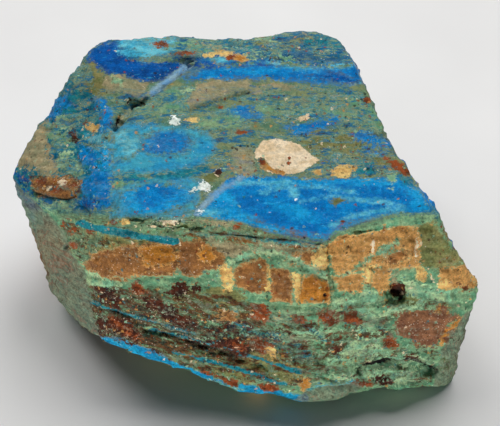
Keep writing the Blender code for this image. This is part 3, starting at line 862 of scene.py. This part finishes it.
draw = np.random.default_rng(LENS_SEED)
across = bed_height(points)
along_dip = points[:, 1] * math.cos(BED_DIP) - points[:, 2] * math.sin(BED_DIP)
in_beds = np.stack([points[:, 0], along_dip, across], axis=1)
waves = [noise_at(points, LENS_WAVE_SIZE, shift) for shift in (51.0, 62.0, 73.0)]
in_beds += LENS_WAVE * np.stack(waves, axis=1)
hidden = 1 - seen
for name, number, lowest, highest, half_length, half_thickness in HIDDEN_LENSES:
    for _ in range(number):
        x = draw.uniform(-LENS_REACH, LENS_REACH)
        y = draw.uniform(-LENS_REACH, LENS_REACH_BACK)
        centre = np.array([x, y, draw.uniform(lowest, highest)])
        size = np.array([half_length, half_length, half_thickness]) * draw.uniform(0.6, 1.4)
        depth = (1 - np.linalg.norm((in_beds - centre) / size, axis=1)) * size[2]
        lay(name, np.maximum(depth, FAR_OUTSIDE) - TAKEN_AWAY * seen)

turned_away = 1 - smooth(-0.12, 0.01, facing)
for name, kind, *shapes in PATCHES:
    places = spots + 0.5 * wander if kind == "line" else loose
    for numbers in shapes:
        lay(name, inside(places, kind, numbers) - TAKEN_AWAY * turned_away)
print("largest share of one colour:", round(max((amount[n] > 0).mean() for n in order), 2))

# %% [markdown]
# ## Where the stone is crowded, frayed or mixed
# Some places are crowded with grains of rust, cream and dark glass, and others are clean. Some have ragged
# colours, and some dissolve into a streaky mix of warm or cool tones. Each of these is one more value on
# the mesh, raised inside areas of the photo. Further values hold the height in the layers, the grey ends,
# the front face, which is painted brighter, and how much painted shade the cracks and the hollows get. The
# material reads them all by name.

# %% Where the specks are
GRAINY = [
    # amount of mixed grains, then the area
    (0.8, "area", (30, 175, 82, 178, 78, 198, 40, 198)),
    (0.7, "area", (60, 214, 104, 232, 120, 250, 84, 264, 66, 240)),
    (0.6, "area", (100, 214, 190, 216, 284, 236, 240, 234, 170, 232, 120, 230)),
    (0.8, "area", (92, 286, 150, 286, 200, 310, 250, 330, 262, 356, 200, 352, 140, 346, 98, 342)),
    (0.6, "area", (150, 336, 262, 368, 310, 350, 320, 384, 260, 396, 190, 376, 140, 348)),
    (0.5, "area", (240, 300, 340, 306, 400, 350, 350, 386, 290, 370)),
    (0.6, "area", (304, 138, 330, 132, 380, 152, 408, 174, 330, 178, 316, 160)),
    (0.5, "area", (222, 146, 256, 142, 258, 176, 216, 180)),
    (0.4, "area", (250, 96, 380, 92, 396, 150, 300, 140)),
    (0.5, "area", (46, 96, 110, 90, 112, 150, 60, 176)),
    (0.4, "area", (180, 40, 350, 34, 352, 66, 240, 60)),
]
SPECKLED = [
    # amount of pale specks, then the shape
    (0.8, "area", (80, 266, 121, 246, 176, 244, 226, 258, 222, 270, 176, 278, 120, 282)),
    (0.8, "area", (330, 246, 378, 230, 420, 228, 424, 268, 340, 274)),
    (1.0, "area", (394, 317, 446, 305, 462, 318, 436, 348, 404, 338)),
    (0.9, "area", (90, 286, 250, 300, 262, 356, 98, 342)),
    (0.7, "area", (262, 48, 350, 48, 356, 68, 262, 66)),
    (0.8, "lens", (316, 146, 9, 9)),
    (0.7, "lens", (371, 173, 8, 9)),
    (0.7, "area", (140, 78, 166, 70, 160, 92, 128, 112, 120, 100)),
    (1.0, "area", (198, 180, 212, 182, 206, 194, 196, 192)),
    (1.0, "lens", (174, 121, 7, 6)),
    (1.0, "area", (86, 132, 98, 126, 110, 160, 104, 176, 92, 172)),
    (0.9, "area", (36, 180, 82, 178, 78, 194, 44, 196)),
    (0.8, "area", (196, 204, 206, 202, 204, 214, 196, 214)),
    (0.8, "area", (140, 216, 190, 218, 186, 228, 146, 228)),
]


def crowding(base, areas):
    """The amount at each point: a base, raised inside the given areas."""
    total = np.array(base, float)
    for value, kind, numbers in areas:
        total = np.maximum(total, value * smooth(-0.6, 0.5, inside(loose, kind, numbers)) * seen)
    return total


print("crowded areas:", len(GRAINY) + len(SPECKLED))

# %% [markdown]
# The ragged and mixed areas are mostly larger. Two of them, the crust on the left facet's ledge and the
# green strip under the top's rim, are used more than once.

# %% Where the colours fray and mix
CRUST = (28, 175, 80, 177, 80, 197, 36, 197)
GREEN_STRIP = (56, 212, 110, 216, 190, 218, 284, 238, 240, 244, 150, 240, 100, 262, 72, 256)
FRAYED = [
    # how ragged the colours are, then the area
    (2.2, "area", (
        84, 284, 150, 290, 230, 300, 300, 308, 400, 300, 460, 300, 450, 378, 300, 388, 190, 366,
        96, 334,
    )),
    (2.4, "area", (26, 170, 84, 174, 84, 200, 36, 198)),
    (1.9, "area", LEFT_OUTLINE),
    (1.7, "area", (84, 50, 118, 34, 250, 26, 340, 26, 362, 66, 290, 68, 262, 58, 190, 60, 140, 64)),
    (1.8, "area", (244, 88, 360, 88, 404, 176, 330, 178, 300, 140, 250, 140)),
    (1.6, "area", GREEN_STRIP),
    (1.5, "area", (80, 246, 180, 236, 330, 244, 430, 222, 484, 286, 400, 300, 200, 292, 84, 280)),
]
RUSTY_MIX = [
    # how much of the streaky mix of warm colours shows, then the area
    (0.70, "area", (44, 280, 66, 262, 88, 292, 101, 341, 84, 350)),
    (1.00, "area", (
        76, 272, 92, 288, 150, 288, 230, 296, 262, 310, 262, 340, 240, 372, 190, 372, 96, 344,
    )),
    (0.75, "area", (230, 296, 262, 306, 300, 322, 330, 350, 320, 388, 240, 384, 240, 320)),
    (0.45, "area", (300, 308, 400, 300, 450, 300, 440, 350, 430, 386, 320, 390)),
    (0.60, "area", (60, 214, 104, 232, 104, 252, 84, 264, 66, 246)),
    (0.90, "area", CRUST),
    (0.35, "area", GREEN_STRIP),
]
COOL_MIX = [
    # the same for the mix of blue, teal and khaki
    (0.60, "area", (46, 112, 84, 50, 96, 88, 112, 128, 113, 215, 62, 212, 40, 202, 66, 176, 52, 156)),
    (0.70, "area", (
        92, 90, 190, 86, 250, 86, 360, 88, 404, 174, 330, 180, 220, 178, 112, 178, 112, 128,
    )),
    (0.60, "area", (118, 34, 250, 26, 340, 26, 362, 66, 290, 68, 262, 58, 190, 60, 140, 64)),
    (0.30, "area", (112, 128, 200, 128, 220, 180, 196, 216, 112, 216)),
]
WARM_PLACES = [
    # where the warm mix turns dark and rusty, then the area
    (1.5, "area", (
        86, 300, 130, 296, 160, 318, 250, 334, 262, 356, 236, 362, 190, 352, 140, 352, 98, 344,
    )),
    (0.6, "area", (84, 284, 250, 296, 270, 330, 252, 392, 96, 346)),
    (0.7, "area", CRUST),
    (0.3, "area", (262, 320, 330, 340, 330, 392, 250, 392)),
]
print("frayed areas:", len(FRAYED), "mixed areas:", len(RUSTY_MIX) + len(COOL_MIX) + len(WARM_PLACES))

# %% [markdown]
# On the front the layers follow the face from its top rim down to its bottom rim. Everywhere else they
# follow the dip of the beds.

# %% Values on the mesh
RIM_LINE = (
    20, 196, 62, 213, 112, 216, 190, 217, 237, 223, 284, 237, 324, 243, 335, 235, 350, 228, 400, 215,
    434, 213, 480, 213,
)
BASE_LINE = (
    20, 260, 60, 300, 100, 341, 196, 375, 250, 388, 300, 400, 350, 392, 450, 385, 490, 385,
)
LOWEST_BED, HIGHEST_BED = -24.0, 45.0
RUSTY_BELOW, COOL_ABOVE = 24, 20  # heights in mm, for the hidden sides


def between_lines(places):
    """How far down the photo each place is, from the front's top rim (0) to its bottom rim (1)."""
    upper = np.interp(places[:, 0], RIM_LINE[0::2], RIM_LINE[1::2])
    lower = np.interp(places[:, 0], BASE_LINE[0::2], BASE_LINE[1::2])
    return (places[:, 1] - upper) / (lower - upper)


on_front = seen * (1 - on_top) * (1 - on_left)
front_beds = LOWEST_BED * between_lines(spots)
values = {
    "bed": across * (1 - on_front) + front_beds * on_front,
    "fray": crowding(np.ones(len(points)), FRAYED),
    "rusty_mix": crowding(0.35 * hidden * (points[:, 2] < RUSTY_BELOW), RUSTY_MIX),
    "cool_mix": crowding(0.45 * hidden * (points[:, 2] >= COOL_ABOVE), COOL_MIX),
    "warm": crowding(0.2 * hidden, WARM_PLACES),
    "front": on_front,
    "grain": crowding(0.34 - 0.22 * on_top - 0.1 * on_left - 0.2 * grey, GRAINY),
    "speck": crowding(0.25 - 0.08 * on_top - 0.15 * grey, SPECKLED),
    "grey": grey,
    "crack_gap": crack_gap,
    "crack_shade_near": crack_shade_near,
    # painted shade where the surface is sunk in
    "hollow_shade": smooth(0.0, 0.7, -height),
}
values.update({"is_" + name: field for name, field in amount.items()})
for name, field in values.items():
    layer = stone.data.attributes.new(name, "FLOAT", "POINT")
    layer.data.foreach_set("value", field.astype(np.float32))
print("values on the mesh:", len(values))

# %% [markdown]
# ## Writing a material as sums
# Nodes are easier to read as Python. `Number` wraps an output socket, so that `a * 0.5 + b` adds the Math
# nodes for it, and `Finish.node` adds any other node from its type, its settings and its sockets. Colours
# are given as they look on a screen, and `colour` turns them into the shader's own scale.


# %% Colour, Number and Finish
def colour(red, green, blue):
    """A colour as seen on a screen, 0 to 255, as the shader wants it."""
    linear = [((c / 255 + 0.055) / 1.055) ** 2.4 if c > 10 else c / 3295 for c in (red, green, blue)]
    return (*linear, 1)


class Number:
    """One output socket of a node, with the operators of a number."""

    def __init__(self, finish, socket):
        self.finish = finish
        self.socket = socket

    def math(self, operation, first, second):
        return self.finish.node("ShaderNodeMath", {"operation": operation}, {0: first, 1: second})

    def __add__(self, other):
        return self.math("ADD", self, other)

    def __sub__(self, other):
        return self.math("SUBTRACT", self, other)

    def __rsub__(self, other):
        return self.math("SUBTRACT", other, self)

    def __mul__(self, other):
        return self.math("MULTIPLY", self, other)

    __radd__ = __add__
    __rmul__ = __mul__


class Finish:
    """A node material, and the ways to add nodes to it."""

    def __init__(self, name):
        self.material = bpy.data.materials.new(name)
        self.material.use_nodes = True
        self.tree = self.material.node_tree
        self.shader = self.tree.nodes["Principled BSDF"]

    def feed(self, socket, value):
        """Links a number to a socket, or sets the socket to a fixed value."""
        if isinstance(value, Number):
            self.tree.links.new(value.socket, socket)
        else:
            socket.default_value = value

    def node(self, kind, settings=None, sockets=None, output=0):
        """Adds a node and gives back one of its outputs."""
        made = self.tree.nodes.new(kind)
        for key, value in (settings or {}).items():
            setattr(made, key, value)
        for key, value in (sockets or {}).items():
            self.feed(made.inputs[key], value)
        return Number(self, made.outputs[output])

    def parts(self, vector):
        """The three numbers of a vector."""
        first = self.node("ShaderNodeSeparateXYZ", None, {0: vector})
        return [Number(self, socket) for socket in first.socket.node.outputs]

    def ramp(self, value, stops, blend="LINEAR"):
        """A colour for each value, from stops of a value and a colour as seen on a screen."""
        made = self.tree.nodes.new("ShaderNodeValToRGB")
        made.color_ramp.interpolation = blend
        while len(made.color_ramp.elements) < len(stops):
            made.color_ramp.elements.new(1)
        for element, (place, tone) in zip(made.color_ramp.elements, stops):
            element.position = place
            element.color = colour(*tone)
        self.feed(made.inputs[0], value)
        return Number(self, made.outputs[0])

    def between(self, value, low, high, to_low=0.0, to_high=1.0):
        """0 at low, 1 at high and an S-curve between them, or any other two ends."""
        settings = {"interpolation_type": "SMOOTHSTEP"}
        sockets = {0: value, 1: low, 2: high, 3: to_low, 4: to_high}
        return self.node("ShaderNodeMapRange", settings, sockets)

    def mix(self, share, first, second):
        """The first colour where the share is 0 and the second where it is 1."""
        return self.node("ShaderNodeMix", {"data_type": "RGBA"}, {0: share, 6: first, 7: second}, 2)

    def vector(self, operation, first, second):
        key = "Scale" if operation == "SCALE" else 1
        return self.node("ShaderNodeVectorMath", {"operation": operation}, {0: first, key: second})

    def noise(self, place, size, detail=2.0, strength=0.5):
        """Cloudy noise from 0 to 1; a high strength gives more of the fine detail."""
        sockets = {"Vector": place, "Scale": 1 / size, "Detail": detail, "Roughness": strength}
        return self.node("ShaderNodeTexNoise", None, sockets)

    def value(self, name):
        """A value that is kept on the mesh."""
        return self.node("ShaderNodeAttribute", {"attribute_name": name}, None, "Fac")

    def on_shader(self, **sockets):
        for key, value in sockets.items():
            self.feed(self.shader.inputs[key.replace("_", " ")], value)


# %% [markdown]
# ## The opal's finish
# First the layers: a ramp across the beds gives every side of the stone its order of colours. Then each
# named colour is laid on where its distance is above 0. Three pairs of noises, one stretched along the
# beds and one fine, fray the edges in turn, and another clouds each colour between its two tones. Just
# before the hard grains come the streaky mixes of cool and warm tones, which leave the clean blue parts
# almost free. The honey, orange and amber blocks get a thin pale rim, a painted highlight on their edges.

# %% Layers and patches
LAYERS = [
    # share of the way from the lowest bed to the highest, and its colour
    (0.00, (40, 110, 120)), (0.06, (70, 130, 96)), (0.16, (92, 112, 70)), (0.24, (80, 62, 44)),
    (0.30, (96, 128, 100)), (0.38, (128, 84, 44)), (0.46, (140, 96, 50)), (0.52, (70, 118, 100)),
    (0.57, (18, 110, 176)), (0.66, (10, 92, 170)), (0.70, (86, 98, 66)), (0.78, (60, 140, 160)),
    (0.84, (108, 120, 84)), (0.90, (6, 70, 150)), (0.95, (40, 96, 118)), (1.00, (92, 126, 148)),
]
RUSTY_COLOURS = [
    (0.30, (26, 26, 30)), (0.38, (60, 34, 30)), (0.42, (116, 56, 30)), (0.45, (70, 46, 36)),
    (0.48, (92, 88, 54)), (0.51, (70, 112, 88)), (0.54, (128, 140, 100)), (0.57, (40, 96, 100)),
    (0.61, (156, 172, 134)), (0.66, (176, 146, 92)), (0.72, (24, 90, 116)),
]
COOL_COLOURS = [
    (0.32, (60, 42, 36)), (0.37, (8, 84, 128)), (0.43, (14, 108, 152)), (0.47, (66, 120, 116)),
    (0.50, (112, 130, 96)), (0.53, (146, 150, 116)), (0.56, (80, 138, 124)), (0.60, (34, 120, 146)),
    (0.64, (156, 172, 146)), (0.70, (116, 78, 48)),
]
BED_STRETCH = 0.32
CLOUD_SIZE, TONE_SIZE, STREAK_SIZE, FINE_SIZE = 4.5, 2.2, 1.3, 0.34
FRAY_SHIFTS = (0.0, 31.0, 67.0)
WIDE_SIZE, CLOSE_SIZE = 1.7, 0.6
WIDE_FRAY, CLOSE_FRAY = 6.0, 5.5
CLOUD_REACH = 9
MIX_STRENGTH, RIM_HIGHLIGHT_STRENGTH = 0.85, 0.45
FIRST_GRAIN = "honey"
HIGHLIGHT_RIMMED = ("honey", "orange", "amber")
RIM_HIGHLIGHT_COLOUR = (212, 176, 116)

opal = Finish("layered opal")
place = opal.vector("SCALE", opal.node("ShaderNodeTexCoord", None, None, "Object"), 1 / MM)
bed_up = (0, math.sin(BED_DIP), math.cos(BED_DIP))
bed_down = (0, math.cos(BED_DIP), -math.sin(BED_DIP))
bed = opal.node("ShaderNodeVectorMath", {"operation": "DOT_PRODUCT"}, {0: place, 1: bed_up}, "Value")
dip = opal.node("ShaderNodeVectorMath", {"operation": "DOT_PRODUCT"}, {0: place, 1: bed_down}, "Value")
along, deep, up = opal.parts(place)
stretched = {0: along * BED_STRETCH, 1: dip * BED_STRETCH, 2: opal.value("bed")}
in_bed = opal.node("ShaderNodeCombineXYZ", None, stretched)
cloud = opal.noise(place, CLOUD_SIZE, 3.0)
fine_fray = opal.noise(place, FINE_SIZE, 2.0, 0.6) - 0.5
tone = opal.noise(place, TONE_SIZE, 5.0, 0.68)
streak = opal.noise(in_bed, STREAK_SIZE, 4.0, 0.68)
frays = []
for shift in FRAY_SHIFTS:
    wide = opal.noise(opal.vector("ADD", in_bed, (shift,) * 3), WIDE_SIZE, 5.0, 0.7) - 0.5
    close = opal.noise(opal.vector("ADD", place, (shift,) * 3), CLOSE_SIZE, 5.0, 0.75) - 0.5
    frays.append((wide * WIDE_FRAY + close * CLOSE_FRAY) * opal.value("fray"))
share = (bed + (cloud - 0.5) * CLOUD_REACH - LOWEST_BED) * (1 / (HIGHEST_BED - LOWEST_BED))
paint = opal.ramp(share, LAYERS)


def within(name):
    """1 inside the patches of a colour and 0 outside."""
    return opal.between(opal.value("is_" + name), -0.2, 0.3)


blues = within("blue") + within("sky") + within("deep")
plain = within("turquoise") + within("sand")
calm = 1.0 - opal.between(blues * 0.9 + plain * 0.6, 0.0, 1.0) * 0.85


def mixture(name, size, shift, stops):
    """Lays a streaky mix of many colours over the paint, as much as the mesh value says."""
    where = opal.vector("ADD", in_bed, (shift,) * 3)
    wanted = opal.value(name)
    cover = opal.between(opal.noise(where, size * 1.6, 5.0, 0.75) + wanted * 0.2, 0.57, 0.66)
    cover = cover * opal.between(wanted, 0.0, 0.25) * calm
    tint = opal.ramp(opal.noise(where, size, 5.0, 0.75) - opal.value("warm") * 0.07, stops)
    return opal.mix(cover * MIX_STRENGTH, paint, tint)


second_tone = opal.between(tone + (streak - 0.5) * 0.8, 0.38, 0.62)
for turn, (name, (main, second, soft, ragged)) in enumerate(PALETTE.items()):
    edge = opal.value("is_" + name) + frays[turn % len(frays)] * ragged
    cover = opal.between(edge, -0.5 * soft, 0.5 * soft)
    tint = opal.mix(second_tone, colour(*main), colour(*second))
    if name == FIRST_GRAIN:
        paint = mixture("cool_mix", 0.95, 11.0, COOL_COLOURS)
        paint = mixture("rusty_mix", 0.75, 23.0, RUSTY_COLOURS)
    paint = opal.mix(cover, paint, tint)
    # Painted highlight: a thin pale rim along the edges of these blocks.
    if name in HIGHLIGHT_RIMMED:
        rim_highlight = opal.between(edge, -0.05, 0.12) * opal.between(edge, 0.5, 0.12)
        paint = opal.mix(rim_highlight * RIM_HIGHLIGHT_STRENGTH, paint, colour(*RIM_HIGHLIGHT_COLOUR))
print("nodes so far:", len(opal.tree.nodes))

# %% [markdown]
# ## Grains and specks
# Cells of noise give single grains: a random share of the cells is kept, and more of them where the mesh
# says that it is crowded. Three sizes are laid on: grains of many colours, fine pale specks, and dark
# ones. Before them, wisps of a lighter blue brighten the blue parts.

# %% Grains and streaks
GRAIN_COLOURS = [
    (0.0, (226, 204, 168)), (0.09, (190, 138, 74)), (0.26, (130, 60, 30)), (0.46, (70, 36, 32)),
    (0.60, (40, 112, 116)), (0.74, (140, 182, 150)), (0.87, (34, 32, 34)),
]
GRAINS = [
    # value on the mesh, size in mm, share of the cells, wobble, edge, strength, one colour or more
    ("grain", 0.62, 0.42, 2.2, (0.46, 0.26), 0.75, GRAIN_COLOURS),
    ("speck", 0.23, 0.11, 1.5, (0.42, 0.20), 0.60, (222, 214, 190)),
    ("grain", 0.45, 0.12, 2.0, (0.42, 0.26), 0.70, (34, 28, 28)),
]
WISP_COLOUR = (64, 180, 220)


def grains(crowd, size, share, wobble, edge, strength, tint):
    """Lays grains of one size over the paint; a tint is one colour or stops to pick from."""
    sockets = {"Vector": place, "Scale": 1 / size, "Randomness": 1.0}
    gap = opal.node("ShaderNodeTexVoronoi", None, sockets, "Distance")
    chance, pick, _ = opal.parts(Number(opal, gap.socket.node.outputs["Color"]))
    kept = opal.between(opal.value(crowd) * share - chance, 0.0, 0.02)
    cover = opal.between(gap + fine_fray * wobble, *edge) * kept
    several = isinstance(tint, list)
    hue = opal.ramp(pick, tint, "CONSTANT") if several else colour(*tint)
    return opal.mix(cover * strength, paint, hue)


wisp = opal.between(opal.noise(in_bed, 0.5, 4.0, 0.7), 0.56, 0.74) * opal.between(blues, 0.0, 1.0)
paint = opal.mix(wisp * 0.5, paint, colour(*WISP_COLOUR))
for row in GRAINS:
    paint = grains(*row)
print("nodes with the grains:", len(opal.tree.nodes))

# %% [markdown]
# ## Rind, cracks and painted shade
# The rind is the grey weathered skin of the ends. Its streaks run down the end faces, so its noise is
# stretched that way. Cracks and hollows get painted shade: their colour is darker, and more so where they
# are deeper. A last mottled noise varies the tone of everything, more strongly on the front and where there
# are many grains, and the front face is painted brighter, as painted light.

# %% Rind and cracks
RIND = [
    (0.30, (52, 52, 44)), (0.40, (92, 86, 72)), (0.48, (120, 128, 106)), (0.54, (86, 108, 94)),
    (0.60, (122, 98, 82)), (0.66, (100, 118, 104)), (0.76, (148, 152, 128)),
]
RIND_STRETCH, RIND_SIZE, RIND_STRENGTH = 0.22, 0.9, 0.78
CRACK_SHADE_COLOUR, HOLLOW_SHADE_COLOUR = (30, 28, 24), (40, 44, 40)
CRACK_SHADE_STRENGTH, HOLLOW_SHADE_STRENGTH = 0.7, 0.3
MOTTLE_SIZE, GRIT_SIZE = 0.6, 0.2

streaked = {0: deep * 0.9 + along * 0.7, 1: up * RIND_STRETCH}
rind_place = opal.node("ShaderNodeCombineXYZ", None, streaked)
rind = opal.ramp(opal.noise(rind_place, RIND_SIZE, 4.0, 0.7), RIND)
rind_cover = opal.between(opal.value("grey") + frays[0] * 0.3, 0.25, 0.75)
paint = opal.mix(rind_cover * RIND_STRENGTH, paint, rind)

# Painted shade: the colour darkens along the cracks.
from_crack = opal.value("crack_gap") + fine_fray * 0.22
from_crack = opal.node("ShaderNodeMath", {"operation": "ABSOLUTE"}, {0: from_crack})
crack_shade = opal.between(from_crack, 0.26, 0.06) * opal.between(opal.value("crack_shade_near"), 0.15, 0.8)
paint = opal.mix(crack_shade * CRACK_SHADE_STRENGTH, paint, colour(*CRACK_SHADE_COLOUR))
# Painted shade in the hollows: where the surface sinks in, its colour is darker.
paint = opal.mix(opal.value("hollow_shade") * HOLLOW_SHADE_STRENGTH, paint, colour(*HOLLOW_SHADE_COLOUR))
grit = (opal.noise(place, GRIT_SIZE, 3.0, 0.7) - 0.5) * (opal.value("grain") * 1.6 + 0.3)
front = opal.value("front")
mottle_and_front_light = opal.noise(place, MOTTLE_SIZE, 5.0, 0.75) * (front * 1.3 + 1.7) + 0.22 - front * 0.65
# Painted light: the front face is painted 1.55 times brighter, standing in for the light on it.
mottle_and_front_light = (mottle_and_front_light + grit) * (front * 0.55 + 1.0)
paint = opal.vector("SCALE", paint, mottle_and_front_light)
print("nodes with the rind:", len(opal.tree.nodes))

# %% [markdown]
# ## Gloss
# Broken opal is waxy to glassy: blue and honey parts are smoother than the mottled ones, and the rind is
# dull. A clear coat lies only on small random spots, and with the fine bump it gives the photo's glints.

# %% Gloss and bump
ROUGH_GLASS, ROUGH_ROCK, ROUGHER_RIND = 0.34, 0.56, 0.15
GLINT_SIZE, GLINT_COAT = 0.3, 0.5
BUMP_STRENGTH, BUMP_HEIGHT = 0.8, 0.2
REFRACTION, SHEEN = 1.45, 0.04

glassy = opal.between(blues + opal.between(opal.value("is_honey"), -0.1, 0.2), 0.0, 1.0)
gloss = ROUGH_ROCK - glassy * (ROUGH_ROCK - ROUGH_GLASS) + (tone - 0.5) * 0.2 + rind_cover * ROUGHER_RIND
bumps = opal.noise(place, 0.35, 3.0, 0.7) + streak * 0.6 + opal.noise(place, 0.16, 1.0) * 0.4
glint = opal.between(opal.noise(place, GLINT_SIZE, 2.0, 0.6), 0.66, 0.74)
relief = {"Strength": BUMP_STRENGTH, "Distance": BUMP_HEIGHT * MM, "Height": bumps}
bump = opal.node("ShaderNodeBump", None, relief)
opal.on_shader(
    Base_Color=paint,
    Roughness=gloss,
    Normal=bump,
    Coat_Weight=glint * GLINT_COAT,
    Coat_Roughness=0.2,
    IOR=REFRACTION,
    Specular_IOR_Level=SHEEN,
)
stone.data.materials.clear()
stone.data.materials.append(opal.material)
print("nodes of the opal:", len(opal.tree.nodes))

# %% [markdown]
# ## The table
# A plain pale board. It has a faint unevenness, so that its tone isn't perfectly flat.

# %% Table finish
BOARD_ROUGHNESS, BOARD_CLOUD = 0.7, 0.05

board = Finish("pale board")
board_place = board.node("ShaderNodeTexCoord", None, None, "Object")
board_tone = board.between(board.noise(board_place, BOARD_CLOUD, 3.0), 0.3, 0.7, 0.96, 1.02)
board_paint = board.vector("SCALE", TABLE_COLOUR[:3], board_tone)
board.on_shader(Base_Color=board_paint, Roughness=BOARD_ROUGHNESS)
table.data.materials.append(board.material)
print("nodes of the board:", len(board.tree.nodes))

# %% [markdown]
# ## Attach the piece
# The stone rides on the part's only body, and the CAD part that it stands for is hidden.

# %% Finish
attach(stone, "root")
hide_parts("blue_opal")
